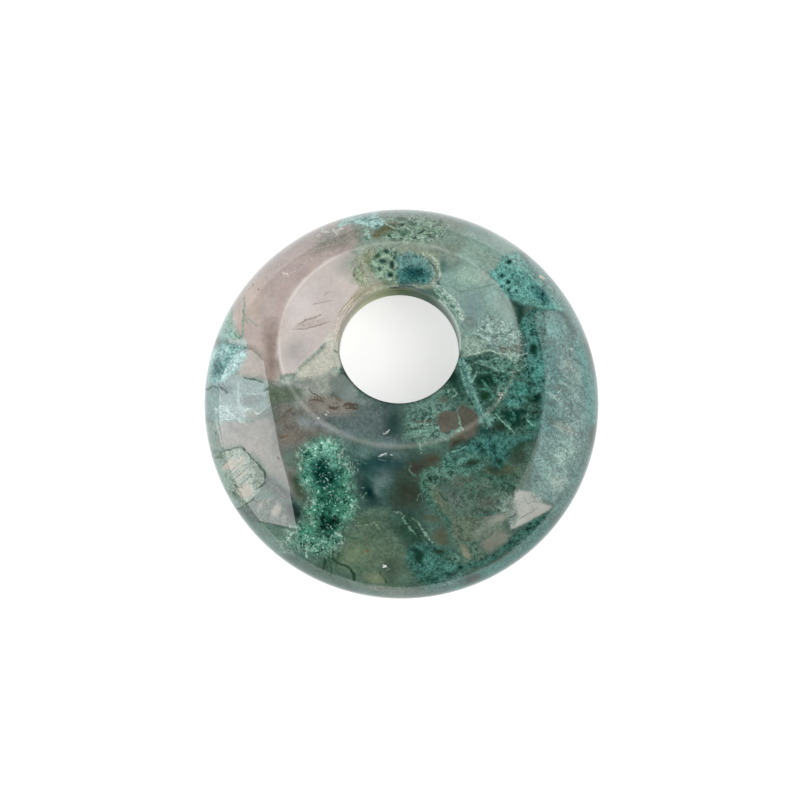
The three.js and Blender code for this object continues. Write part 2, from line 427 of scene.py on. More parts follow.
    ("#1f3f33", "clear", (0.85, -6.95, 0.17, 0.25, -20), 0.08, 0.15),
    ("#1c3a30", "clear", (0.7, -6.65, 0.12, 0.08, 0), 0.05, 0.1),
    ("#2a3c2d", "clear", (1.8, -6.72, 0.27, 0.13, 0), 0.07, 0.1),
    ("#12302a", "clear", (2.3, -7.65, 0.17, 0.12, -20), 0.06, 0.1),
    ("#12302a", "clear", (2.75, -7.42, 0.1, 0.05, 0), 0.04, 0.05),
    ("#18382f", "clear", (1.25, -8.0, 0.35, 0.07, 5), 0.06, 0.1),
    ("#56796a", "netted", (2.4, -6.95, 0.3, 0.22, 0), 0.12, 0.2),
    ("#63857e", "dusty", (2.4, -8.1, 0.6, 0.22, 15), 0.15, 0.2),
    # right flank, with a brownish grey where the moss leaves gaps
    ("#789b94", "dusty", [(6.15, 4.25), (7.0, 4.3), (7.6, 3.7), (8.0, 2.8), (8.6, 1.0), (8.7, -1.0),
        (8.2, -3.0), (7.0, -4.5), (6.0, -4.0), (5.95, -2.9), (6.3, -1.5), (6.5, 0.3),
        (6.5, 2.0)], 0.12, 0.1),
    ("#4f6f64", "dusty", (6.0, -2.65, 0.13, 0.8, 18), 0.1, 0.1),
    ("#82b0ab", "dusty", (6.9, 3.5, 0.6, 0.5, 0), 0.3, 0.3),
    ("#5d8e89", "dusty", [(6.4, 3.0), (6.9, 2.7), (7.1, 2.0), (7.2, 1.0), (7.2, -0.8), (6.9, -1.4),
        (6.2, -1.4), (6.5, 0.3), (6.5, 2.0)], 0.25, 0.3),
    ("#89a9a2", "dusty", [(7.6, 2.8), (8.2, 1.6), (8.4, 0.0), (8.1, -1.6), (7.6, -1.8), (7.5, -0.3),
        (7.7, 0.8), (7.5, 1.8)], 0.25, 0.3),
    ("#a9c9be", "dusty", (7.35, -2.2, 0.4, 0.7, -15), 0.3, 0.3),
    ("#84aca0", "dusty", (6.65, -3.0, 0.3, 0.8, 20), 0.25, 0.25),
    ("#9db6ab", "dusty", (7.2, -3.5, 0.5, 0.5, 0), 0.3, 0.3),
    ("#7c9c92", "dusty", (6.3, -3.75, 0.5, 0.2, 0), 0.2, 0.2),
    ("#657e7b", "dusty", (6.6, 2.85, 0.17, 0.12, 0), 0.1, 0.15),
    ("#96aea8", "dusty", (7.5, 1.8, 0.33, 0.2, -30), 0.12, 0.2),
    ("#66807c", "haze", (7.2, 0.75, 0.4, 0.17, -20), 0.12, 0.2),
    ("#466b65", "haze", (6.8, 0.1, 0.3, 0.2, -20), 0.12, 0.2),
    ("#78908a", "dusty", (7.5, -0.05, 0.3, 0.15, -30), 0.15, 0.2),
    ("#55786f", "dusty", (6.9, -0.7, 0.35, 0.2, 0), 0.15, 0.25),
    ("#98aaa0", "dusty", (7.5, -1.1, 0.4, 0.15, -25), 0.15, 0.2),
    ("#6ca9a2", "dusty", [(8.0, 3.2), (8.5, 2.2), (9.2, 0.5), (9.2, -1.0), (8.5, -1.0), (8.3, 0.4),
        (8.1, 1.6), (7.8, 2.6)], 0.2, 0.2),
    ("#6a958c", "dusty", [(7.2, -4.3), (8.2, -2.6), (8.5, -1.8), (9.2, -2.4), (8.6, -4.4), (7.6, -5.6),
        (6.6, -5.0)], 0.15, 0.15),
    ("#5a857b", "dusty", [(6.0, -5.4), (6.8, -4.8), (7.6, -5.2), (6.6, -6.6), (5.6, -7.2),
        (5.0, -6.6)], 0.2, 0.15),
    # pale wedge
    ("#b6b9b0", "clear", [(5.2, -4.0), (5.45, -3.85), (6.0, -3.98), (6.3, -4.4), (7.0, -4.55),
        (6.75, -4.83), (5.0, -5.7), (5.05, -5.5), (5.3, -5.2), (5.15, -4.6)], 0.07, 0.08),
    ("#9aa69c", "dusty", (6.15, -4.25, 0.35, 0.15, -30), 0.15, 0.2),
    ("#a9b1a7", "haze", (5.35, -4.7, 0.15, 0.4, 0), 0.12, 0.2),
    ("#87978c", "dusty", [(4.7, -4.6), (5.0, -4.2), (5.25, -4.4), (5.3, -5.1), (5.0, -5.35),
        (4.8, -5.0)], 0.15, 0.15),
    ("#2a4a42", "clear", (5.2, -5.1, 0.14, 0.06, 20), 0.05, 0.06),
    # dark green and pale bands along the lower right rim
    ("#366357", "grainy", [(3.0, -7.5), (4.0, -7.2), (5.0, -6.6), (5.8, -5.95), (6.6, -5.1),
        (6.2, -5.15), (5.2, -5.85), (4.4, -6.6), (3.6, -7.1), (3.1, -7.2)], 0.12, 0.15),
    ("#4d8d83", "dusty", [(3.2, -7.8), (4.6, -7.1), (5.6, -6.4), (6.6, -5.4), (7.4, -6.0), (5.4, -8.0),
        (3.0, -9.0), (1.6, -9.2), (2.6, -8.4)], 0.15, 0.15),
    ("#3e524b", "haze", (3.3, -7.95, 0.4, 0.22, 25), 0.15, 0.15),
    ("#5a7f78", "dusty", (1.5, -8.45, 0.8, 0.18, 3), 0.12, 0.1),
    ("#80887e", "haze", (0.0, -8.65, 1.0, 0.22, 0), 0.15, 0.1),
    # upper right flank and the right of the land
    ("#9fbdb2", "haze", [(1.6, 7.4), (2.5, 6.7), (3.6, 6.1), (4.2, 6.0), (4.6, 6.7), (5.3, 7.0),
        (6.2, 6.9), (4.0, 8.6), (2.0, 9.3), (1.0, 9.0)], 0.2, 0.1),
    ("#85a7a0", "haze", (2.9, 8.25, 0.8, 0.25, -25), 0.25, 0.2),
    ("#9ab1a3", "haze", (3.6, 6.75, 0.9, 0.25, -30), 0.35, 0.3),
    ("#8caaa0", "haze", [(1.7, 6.6), (2.5, 6.65), (3.6, 6.1), (4.4, 5.5), (5.0, 4.6), (5.25, 3.4),
        (4.6, 3.4), (3.9, 3.7), (3.5, 3.2), (2.8, 3.0), (2.7, 3.9), (2.2, 4.6), (1.7, 5.3)], 0.1, 0.06),
    ("#9db9ac", "haze", [(2.6, 6.6), (3.3, 6.15), (4.2, 5.5), (3.5, 5.35), (2.6, 5.6),
        (2.5, 6.1)], 0.25, 0.2),
    ("#66807a", "clear", (2.15, 6.5, 0.45, 0.3, -20), 0.3, 0.2),
    ("#4d6a63", "clear", (1.88, 6.35, 0.2, 0.36, 0), 0.2, 0.2),
    ("#789190", "clear", (3.2, 4.4, 0.45, 0.7, 10), 0.4, 0.3),
    ("#7d8f89", "haze", (3.05, 3.7, 0.3, 0.25, 0), 0.2, 0.2),
    ("#8ba99f", "clear", (2.5, 5.25, 0.35, 0.15, 0), 0.2, 0.2),
    ("#9dbab4", "haze", (4.2, 4.8, 0.3, 0.45, 20), 0.25, 0.2),
    ("#9aafa8", "clear", (4.7, 4.3, 0.25, 0.5, 20), 0.25, 0.2),
    ("#8aa49c", "veiled", [(3.9, 4.2), (4.4, 3.9), (5.1, 3.6), (5.35, 3.2), (5.3, 2.6), (5.0, 2.1),
        (4.6, 2.2), (4.0, 2.6), (3.5, 3.2), (3.7, 3.8)], 0.15, 0.15),
    ("#94ac9f", "dusty", [(2.7, 3.1), (3.3, 3.1), (3.8, 2.9), (3.9, 2.5), (3.3, 2.3),
        (2.75, 2.15)], 0.12, 0.12),
    ("#667d79", "clear", (3.72, 3.5, 0.16, 0.12, 20), 0.06, 0.08),
    ("#5b726d", "clear", (4.35, 3.13, 0.2, 0.05, 5), 0.05, 0.04),
    ("#5b726d", "clear", (4.15, 2.9, 0.16, 0.04, 5), 0.05, 0.04),
    ("#666d66", "clear", (4.7, 2.5, 0.3, 0.1, -10), 0.07, 0.06),
    ("#6b776f", "clear", (5.25, 2.6, 0.24, 0.2, 0), 0.08, 0.1),
    ("#45645b", "clear", (4.1, 2.4, 0.3, 0.1, -15), 0.08, 0.08),
    # thicket, the hollow beside it and the band below it
    ("#73b2a8", "mossy", [(4.0, 5.9), (4.4, 6.3), (4.8, 6.8), (5.2, 6.95), (5.7, 6.5), (6.4, 5.6),
        (7.0, 5.1), (7.5, 4.3), (6.6, 4.3), (6.0, 4.5), (5.5, 4.5), (4.9, 4.8), (4.4, 5.5)], 0.1, 0.15),
    ("#80b8ad", "mossy", (5.1, 6.5, 0.45, 0.3, -30), 0.2, 0.2),
    ("#44807b", "mossy", (6.3, 5.05, 0.5, 0.3, -35), 0.2, 0.2),
    ("#85ada6", "dusty", [(5.6, 6.8), (6.2, 6.9), (7.6, 5.2), (8.7, 3.2), (8.2, 2.8), (7.8, 3.6),
        (7.3, 4.4), (6.6, 5.4), (5.9, 6.2)], 0.15, 0.2),
    ("#42756c", "grainy", [(5.3, 3.9), (5.9, 4.4), (6.5, 4.3), (6.6, 2.5), (6.5, 0.6), (5.9, 0.5),
        (5.5, 1.4), (5.6, 2.6), (5.4, 3.2)], 0.1, 0.15),
    ("#25413b", "clear", [(5.0, 4.75), (5.6, 4.5), (5.6, 4.1), (5.3, 3.7), (5.25, 4.2)], 0.12, 0.1),
    ("#4d877c", "grainy", (5.75, 3.5, 0.22, 0.3, 0), 0.15, 0.15),
    ("#4f8d83", "mossy", (6.15, 1.45, 0.3, 0.4, 0), 0.2, 0.2),
    ("#16382f", "clear", (6.0, 2.5, 0.16, 0.2, 0), 0.08, 0.1),
    ("#1b3a34", "clear", (5.65, 2.2, 0.12, 0.1, 0), 0.06, 0.08),
    ("#1f4a44", "clear", (5.95, 1.6, 0.09, 0.12, 0), 0.06, 0.06),
    ("#1c4037", "clear", (6.0, 0.95, 0.1, 0.1, 0), 0.06, 0.06),
]
# the thicket's dark holes
clouds += [("#163f38", "clear", (x, y, size, size * 0.8, 20), 0.04, 0.05) for x, y, size in (
    (4.9, 6.5, 0.1), (4.55, 5.85, 0.1), (4.82, 5.6, 0.11), (4.85, 5.27, 0.09), (5.2, 5.2, 0.09),
    (5.05, 5.95, 0.07), (5.3, 5.5, 0.06), (6.42, 5.45, 0.07), (6.4, 5.0, 0.07), (5.6, 5.9, 0.05),
    (5.9, 5.3, 0.06), (4.5, 5.4, 0.06))]
clouds += [
    # sage ground of the top, outside the land and on it
    ("#8fa193", "haze", [(-2.4, 6.6), (-1.0, 6.8), (0.2, 6.9), (1.4, 6.8), (2.4, 6.4), (3.0, 7.4),
        (2.2, 9.0), (-1.2, 9.0), (-2.2, 8.3)], 0.35, 0.3),
    ("#929f8d", "haze", [(-2.4, 4.9), (-2.0, 5.9), (-1.9, 6.7), (-0.8, 7.15), (0.8, 7.15), (1.75, 6.8),
        (1.75, 6.0), (1.5, 5.3), (0.6, 5.1), (-0.6, 5.1), (-1.4, 4.9), (-2.0, 4.3)], 0.12, 0.1),
    # pink grey of the upper left, outside the land and on it; on the land it is paler, partly the stone's
    # colour and partly a painted reflection of light from above
    ("#b9aba6", "clear", [(-8.6, 3.4), (-7.6, 5.6), (-5.6, 7.4), (-3.4, 8.8), (-2.4, 8.4), (-2.0, 7.2),
        (-2.6, 6.5), (-4.0, 5.2), (-4.9, 4.0), (-5.4, 2.5), (-5.5, 0.9), (-6.2, 1.2), (-6.4, 2.2),
        (-7.3, 2.8)], 0.15, 0.1),
    ("#bfb0a5", "clear", (-6.9, 4.6, 0.4, 1.0, -15), 0.5, 0.2),
    ("#9b998f", "haze", [(-3.9, 6.9), (-3.0, 7.1), (-1.9, 7.2), (-1.6, 7.7), (-2.0, 8.1), (-3.0, 8.0),
        (-3.9, 7.6)], 0.35, 0.3),
    ("#8fb3a9", "dusty", [(-8.6, 3.2), (-8.3, 4.0), (-7.7, 4.6), (-7.7, 3.6), (-7.3, 2.9),
        (-8.2, 2.7)], 0.15, 0.2),
    # painted shade: a dark soft band just outside the land's left edge
    ("#8d7f76", "clear", (-5.9, 2.2, 0.25, 1.3, 0), 0.35, 0.1),
    ("#d0c6c1", "clear", [(-5.6, 3.0), (-5.3, 4.2), (-4.6, 5.5), (-3.5, 6.5), (-2.4, 6.85), (-2.0, 6.6),
        (-2.2, 5.9), (-1.9, 5.2), (-2.6, 4.3), (-3.0, 3.2), (-3.9, 2.3), (-4.9, 1.3), (-5.4, 1.3),
        (-5.6, 2.2)], 0.08, 0.03),
    ("#a9aca3", "clear", (-2.3, 6.35, 0.6, 0.4, 20), 0.35, 0.15),
    ("#c9c1bc", "clear", (-3.6, 5.3, 0.5, 0.6, -30), 0.4, 0.2),
    ("#d6ccc2", "haze", [(-3.3, 2.3), (-3.1, 3.3), (-2.7, 4.3), (-2.2, 4.9), (-1.9, 4.6), (-2.6, 3.7),
        (-2.85, 2.6)], 0.15, 0.1),
    ("#b3b09b", "haze", [(-2.3, 4.8), (-1.8, 5.4), (-1.2, 5.65), (-0.7, 5.5), (-0.9, 5.2), (-1.6, 4.8),
        (-2.1, 4.3)], 0.15, 0.1),
    ("#b9b4b0", "clear", (-4.7, 2.4, 0.5, 0.5, 0), 0.5, 0.1),
    ("#dbd4d0", "clear", (-4.5, 4.3, 0.6, 0.9, -20), 0.5, 0.1),
    ("#c5bab2", "haze", (-4.1, 3.65, 0.6, 0.14, 12), 0.1, 0.1),
    ("#c6c5b8", "haze", [(-4.7, 1.5), (-4.0, 2.1), (-3.4, 2.6), (-2.8, 2.4), (-2.7, 1.9), (-3.2, 1.4),
        (-4.0, 1.1), (-4.8, 1.1)], 0.15, 0.08),
    ("#9da39a", "haze", [(-4.9, 1.0), (-3.9, 1.1), (-3.2, 1.4), (-3.0, 0.6), (-3.6, 0.1), (-4.4, 0.0),
        (-4.8, 0.5)], 0.25, 0.15),
    ("#87837b", "haze", [(-4.4, 0.2), (-3.0, 0.4), (-2.0, 0.1), (-2.2, -0.4), (-3.2, -0.6),
        (-4.4, -0.4)], 0.25, 0.15),
    ("#7f8a85", "clear", [(-3.25, 0.9), (-3.0, 1.35), (-2.6, 1.3), (-2.2, 0.9), (-1.9, 0.4),
        (-2.0, 0.1), (-2.6, 0.2), (-3.0, 0.5)], 0.07, 0.08),
    ("#62705f", "haze", [(-6.0, 0.7), (-5.2, 0.85), (-4.6, 0.7), (-4.5, 0.3), (-5.2, 0.1),
        (-6.0, -0.1)], 0.2, 0.15),
    # left flank: icy zone, pink grey, slabs
    ("#958d84", "clear", [(-7.4, 1.2), (-7.3, 2.6), (-6.6, 2.5), (-6.1, 1.2)], 0.15, 0.05),
    ("#7c9491", "haze", [(-9.3, 0.8), (-7.4, 1.2), (-6.1, 0.9), (-6.0, -0.3), (-6.8, -0.7),
        (-7.4, -0.9), (-8.4, -1.1), (-9.3, -0.3)], 0.15, 0.1),
    ("#61797a", "dusty", (-8.0, 0.6, 0.35, 0.35, 0), 0.2, 0.3),
    ("#99b0ad", "dusty", (-8.0, -0.4, 0.5, 0.4, 0), 0.2, 0.3),
    ("#98adaa", "haze", (-7.3, -0.35, 0.35, 0.25, -30), 0.15, 0.3),
    ("#6c7f7c", "haze", (-6.75, 0.1, 0.4, 0.2, 0), 0.15, 0.2),
    ("#858780", "haze", (-6.6, -0.5, 0.4, 0.2, 0), 0.2, 0.2),
    ("#878883", "clear", [(-9.0, -1.1), (-7.4, -0.85), (-6.8, -0.9), (-5.9, -0.6), (-5.5, -2.3),
        (-4.9, -3.9), (-5.9, -3.2), (-6.6, -2.4), (-7.3, -1.9), (-9.0, -2.2)], 0.12, 0.08),
    ("#928c87", "clear", (-6.7, -2.0, 0.5, 0.3, -30), 0.3, 0.2),
    ("#72736c", "clear", [(-5.9, -0.7), (-5.5, -1.0), (-5.4, -2.4), (-5.8, -2.2)], 0.2, 0.1),
    ("#777a72", "clear", [(-6.2, -2.6), (-5.5, -2.5), (-4.9, -3.9), (-5.9, -3.2)], 0.2, 0.1),
    ("#85958c", "haze", [(-9.1, -0.9), (-8.3, -0.9), (-8.15, -2.1), (-9.1, -2.3)], 0.12, 0.15),
    ("#86988b", "dusty", [(-9.0, -2.4), (-7.3, -2.0), (-6.5, -2.8), (-6.1, -3.5), (-6.6, -4.3),
        (-7.4, -4.9), (-8.6, -4.2)], 0.05, 0.04),
    ("#657867", "mossy", [(-6.9, -2.6), (-6.5, -2.8), (-6.15, -3.3), (-6.4, -3.9), (-6.7, -3.9),
        (-6.6, -3.3)], 0.1, 0.15),
    ("#aca69a", "clear", (-7.9, -2.85, 0.42, 0.12, 42), 0.07, 0.1),
    ("#aaa498", "clear", (-7.5, -2.85, 0.42, 0.12, 42), 0.07, 0.1),
    ("#aaa498", "clear", (-7.3, -3.3, 0.4, 0.11, 42), 0.07, 0.1),
    ("#a19d91", "clear", [(-7.5, -3.9), (-7.2, -3.6), (-6.9, -3.7), (-6.65, -4.1), (-6.9, -4.35),
        (-7.3, -4.3)], 0.08, 0.1),
    ("#404d4b", "dusty", [(-6.1, -3.2), (-5.0, -4.0), (-4.8, -4.5), (-5.3, -4.4),
        (-6.3, -3.8)], 0.12, 0.1),
    ("#56655e", "dusty", [(-6.8, -4.4), (-5.4, -4.2), (-5.1, -5.0), (-4.85, -5.65), (-6.6, -5.4),
        (-7.4, -5.1)], 0.12, 0.08),
    ("#94958a", "clear", (-6.3, -4.6, 0.1, 0.32, -25), 0.07, 0.1),
    ("#94958a", "clear", (-6.0, -4.5, 0.08, 0.26, -25), 0.07, 0.1),
    ("#95968c", "clear", (-5.65, -4.85, 0.17, 0.4, -28), 0.08, 0.1),
    ("#777f74", "haze", (-5.3, -5.2, 0.15, 0.2, 0), 0.08, 0.1),
    ("#22332f", "clear", [(-5.3, -4.6), (-4.8, -4.45), (-4.4, -4.75), (-4.4, -5.2), (-4.7, -5.4),
        (-5.0, -5.2)], 0.2, 0.1),
    # left clump
    ("#8cb3b0", "mossy", [(-9.2, 1.0), (-8.2, 0.9), (-7.4, 1.5), (-7.0, 2.2), (-7.2, 2.7), (-8.2, 2.8),
        (-8.8, 2.2)], 0.15, 0.2),
    ("#b5dcda", "mossy", (-8.75, 2.1, 0.15, 0.5, -15), 0.15, 0.2),
    ("#3c7472", "mossy", (-8.35, 1.55, 0.25, 0.4, -20), 0.2, 0.2),
    # rim of the bottom left
    ("#6a8177", "haze", [(-7.6, -5.2), (-6.4, -5.6), (-4.4, -6.9), (-3.2, -7.9), (-1.0, -8.4),
        (-0.6, -9.2), (-5.0, -8.6)], 0.2, 0.15),
    ("#5f796c", "haze", [(-6.4, -5.5), (-5.0, -5.75), (-5.0, -6.4), (-5.6, -6.3)], 0.12, 0.1),
    ("#556d62", "haze", [(-5.4, -6.9), (-3.9, -6.9), (-3.0, -7.7), (-1.8, -8.4), (-1.8, -8.9),
        (-4.5, -8.0)], 0.2, 0.2),
    ("#46645a", "haze", (-4.5, -7.1, 0.5, 0.25, -20), 0.25, 0.2),
    ("#465f50", "haze", (-3.3, -7.55, 0.5, 0.3, -20), 0.2, 0.2),
    ("#737c73", "haze", (-1.2, -8.45, 0.6, 0.15, -5), 0.12, 0.1),
    # top, and the growths above the bore
    ("#7f9a86", "tangled", [(-1.0, 7.5), (-0.4, 7.3), (1.0, 7.4), (1.9, 7.7), (2.1, 8.3), (1.6, 8.7),
        (0.4, 8.75), (-0.9, 8.5)], 0.2, 0.3),
    ("#8aa79b", "dusty", [(-0.6, 8.5), (0.6, 8.6), (1.8, 8.5), (1.4, 9.2), (-0.8, 9.2)], 0.15, 0.2),
    ("#6d7358", "haze", [(-1.4, 7.6), (-0.9, 8.2), (-0.3, 8.25), (-0.3, 7.9), (-0.8, 7.8),
        (-1.1, 7.5)], 0.15, 0.2),
    ("#3a6552", "clear", [(-0.1, 7.65), (0.2, 7.75), (0.4, 7.85), (0.15, 7.82)], 0.07, 0.15),
    ("#3a5a45", "clear", [(-0.3, 8.45), (0.0, 8.5), (0.2, 8.42), (-0.1, 8.4)], 0.05, 0.12),
    ("#466f58", "clear", [(0.35, 8.3), (0.55, 8.1), (0.65, 8.2)], 0.07, 0.15),
    ("#3f6150", "clear", [(1.5, 8.45), (1.85, 8.45), (1.8, 8.38), (1.6, 8.38)], 0.05, 0.12),
    ("#9cc4be", "tangled", [(-2.9, 8.1), (-2.2, 8.15), (-1.8, 7.95), (-1.2, 8.0), (-0.95, 8.3),
        (-1.2, 8.9), (-2.6, 8.8)], 0.12, 0.2),
    ("#3f8f86", "grainy", (-1.7, 8.4, 0.4, 0.12, 5), 0.1, 0.15),
    ("#a3a996", "haze", [(-2.2, 5.6), (-1.5, 5.5), (-1.0, 5.5), (-1.0, 6.0), (-1.3, 6.6), (-1.2, 7.1),
        (-1.8, 6.9), (-2.0, 6.3)], 0.25, 0.3),
    ("#7b9883", "netted", [(-1.4, 6.4), (-1.1, 7.0), (-0.4, 7.1), (0.0, 6.9), (0.1, 6.0), (-0.3, 5.5),
        (-0.8, 5.6), (-1.2, 6.0)], 0.12, 0.15),
    ("#2f4c40", "clear", (-0.75, 6.93, 0.19, 0.09, 0), 0.05, 0.08),
    ("#36523f", "clear", (-1.1, 6.75, 0.12, 0.09, 30), 0.05, 0.08),
    ("#2c4a40", "clear", (-0.85, 6.5, 0.17, 0.09, 0), 0.05, 0.08),
    ("#27433e", "clear", (-0.4, 6.35, 0.08, 0.16, 0), 0.05, 0.08),
    ("#2c4a44", "clear", (-0.28, 6.7, 0.09, 0.11, 0), 0.05, 0.08),
    ("#233f3c", "clear", (-0.52, 5.88, 0.11, 0.1, 0), 0.05, 0.08),
    ("#3d5a50", "clear", (-0.95, 6.15, 0.08, 0.06, 0), 0.05, 0.08),
    ("#658d88", "mossy", [(-0.2, 5.6), (0.3, 5.45), (1.2, 5.45), (1.55, 5.8), (1.4, 6.4), (0.9, 6.8),
        (0.3, 6.9), (-0.2, 6.7), (-0.1, 6.1)], 0.15, 0.2),
    ("#3f7470", "mossy", [(-0.1, 5.5), (0.4, 5.4), (1.3, 5.4), (1.4, 5.9), (0.9, 6.35), (0.3, 6.2),
        (-0.1, 6.0)], 0.2, 0.2),
    ("#17494b", "dusty", (0.6, 5.93, 0.4, 0.3, -10), 0.2, 0.2),
    ("#467f7a", "grainy", (1.05, 5.55, 0.2, 0.12, 0), 0.1, 0.15),
    ("#a9c0b3", "mossy", [(1.2, 5.55), (1.6, 5.45), (2.0, 5.1), (2.5, 4.6), (2.85, 4.0), (2.7, 3.75),
        (2.3, 4.3), (1.8, 4.8), (1.4, 5.2)], 0.06, 0.12),
    ("#2f6a55", "clear", (1.65, 5.15, 0.15, 0.08, -20), 0.06, 0.08),
    ("#3a7a66", "clear", (2.0, 4.85, 0.08, 0.06, 0), 0.05, 0.05),
    ("#2f6a5a", "clear", (2.32, 4.45, 0.1, 0.07, 0), 0.05, 0.05),
    ("#3f7a6a", "clear", (2.55, 4.2, 0.06, 0.06, 0), 0.05, 0.05),
    # pale strips along the bore's edge
    ("#8aa499", "haze", [(2.87, 2.42), (2.77, 3.27), (2.47, 3.97), (1.99, 4.56), (1.72, 4.8),
        (1.55, 4.58), (1.8, 4.37), (2.24, 3.83), (2.51, 3.2), (2.6, 2.43)], 0.08, 0.06),
    ("#67897e", "haze", [(2.1, 0.72), (1.96, 0.51), (1.35, 0.06), (0.64, -0.22), (0.59, -0.03),
        (1.25, 0.23), (1.82, 0.65)], 0.08, 0.08),
    ("#628a82", "haze", [(2.78, 2.03), (2.7, 1.7), (2.5, 1.75), (2.58, 2.06)], 0.06, 0.05),
    ("#c3c6b8", "haze", [(-3.08, 2.92), (-3.1, 2.27), (-2.93, 1.53), (-2.68, 1.63), (-2.84, 2.29),
        (-2.82, 2.88)], 0.08, 0.05),
    # small patches that correct the tone where it was furthest from the photograph
    ("#54857a", "mossy", (5.6, 4.75, 0.5, 0.14, -15), 0.15, 0.15),
    ("#5f9187", "mossy", (6.0, 3.95, 0.3, 0.2, 0), 0.15, 0.15),
    ("#5d8075", "netted", (4.5, 0.6, 0.2, 0.3, 0), 0.12, 0.15),
    ("#335349", "haze", (3.35, 1.5, 0.12, 0.25, 0), 0.1, 0.1),
    ("#5f7a73", "veiled", (4.05, 2.6, 0.25, 0.15, -15), 0.1, 0.12),
    ("#526f69", "haze", (5.48, 2.85, 0.12, 0.3, 0), 0.1, 0.1),
    ("#304b3f", "netted", (2.9, -2.75, 0.4, 0.15, 10), 0.15, 0.2),
    ("#7b9285", "dusty", (5.2, -5.25, 0.14, 0.25, -20), 0.1, 0.15),
    ("#4a7a6e", "mossy", (2.2, -7.4, 0.2, 0.15, 0), 0.12, 0.15),
    ("#a3aca2", "haze", (-5.2, 1.0, 0.35, 0.15, 15), 0.15, 0.1),
    ("#8b918c", "haze", (-4.7, -0.1, 0.3, 0.15, 0), 0.2, 0.1),
    ("#83908b", "haze", (-1.7, 0.1, 0.35, 0.15, -15), 0.15, 0.1),
    ("#b3b9b0", "haze", (-3.0, 1.45, 0.2, 0.15, 0), 0.12, 0.1),
    ("#d3d0c6", "haze", (-3.3, 2.85, 0.25, 0.3, 0), 0.2, 0.1),
    ("#c0cbc6", "haze", (-7.6, 2.8, 0.35, 0.12, -10), 0.12, 0.15),
    ("#5f7c77", "haze", (-1.7, -2.2, 0.35, 0.2, 0), 0.2, 0.2),
    ("#566d69", "haze", (-0.1, -2.3, 0.3, 0.15, 0), 0.2, 0.2),
    # painted highlight on the land's edge above the bore
    ("#acb5a8", "haze", (-1.8, 6.9, 0.25, 0.2, 0), 0.15, 0.15),
    ("#93aca1", "haze", (2.2, 7.6, 0.4, 0.25, -20), 0.25, 0.2),
    ("#47605c", "dusty", (0.5, 5.47, 0.5, 0.07, 0), 0.08, 0.1),
    ("#74836f", "haze", (-0.65, 5.48, 0.25, 0.1, 0), 0.08, 0.1),
    ("#a9bcb2", "haze", (3.7, 5.9, 0.3, 0.2, -35), 0.15, 0.1),
    # the plume, over everything at the lower left
    ("#467867", "crystals", plume, 0.05, 0.34),
    ("#85ae9f", "crystals", (-3.4, -2.05, 0.85, 0.4, -5), 0.25, 0.25),
    ("#54796b", "crystals", (-4.0, -6.3, 0.9, 0.35, 5), 0.3, 0.3),
    ("#4f7a6a", "crystals", (-2.5, -4.4, 0.3, 0.9, 0), 0.3, 0.3),
    ("#558475", "crystals", (-4.25, -3.2, 0.3, 0.6, 0), 0.25, 0.3),
    ("#17463f", "crystals", (-3.4, -3.15, 0.65, 0.8, 10), 0.35, 0.3),
    ("#0b3630", "crystals", (-3.35, -3.3, 0.35, 0.5, 0), 0.25, 0.3),
    ("#265447", "crystals", (-3.2, -4.3, 0.42, 0.6, 0), 0.3, 0.3),
    ("#0b2f26", "crystals", (-3.4, -5.5, 0.55, 0.45, 0), 0.3, 0.3),
    ("#648f82", "crystals", (-3.05, -2.6, 0.25, 0.4, 0), 0.2, 0.2),
    ("#4f7b6b", "crystals", (-3.9, -5.4, 0.2, 0.3, 0), 0.2, 0.2),
    ("#3f5d4b", "tangled", (-3.05, -6.65, 0.3, 0.22, 0), 0.18, 0.2),
    ("#4a6756", "netted", (-2.7, -6.05, 0.2, 0.25, 0), 0.15, 0.2),
    ("#415a4c", "haze", (-4.4, -4.4, 0.15, 0.2, 0), 0.12, 0.15),
    ("#87a094", "netted", (-4.95, -5.75, 0.25, 0.2, 0), 0.15, 0.2),
]

# The bore's wall: degrees round it from the right, and its tone there: the ground stone's colour, with
# painted light from 105 to 180 degrees that stands in for light coming through the stone.
wall = [
    (0, "#a9b3af"), (30, "#9aa5a1"), (45, "#8b9894"), (60, "#6b8073"), (75, "#76897b"), (90, "#86957a"),
    (105, "#c3cda6"), (120, "#e6e5c6"), (135, "#e8e6cd"), (150, "#ece2d5"), (180, "#e6dfd6"),
    (210, "#8d978d"), (255, "#6d827f"), (285, "#84908c"), (330, "#5a6e60"),
]
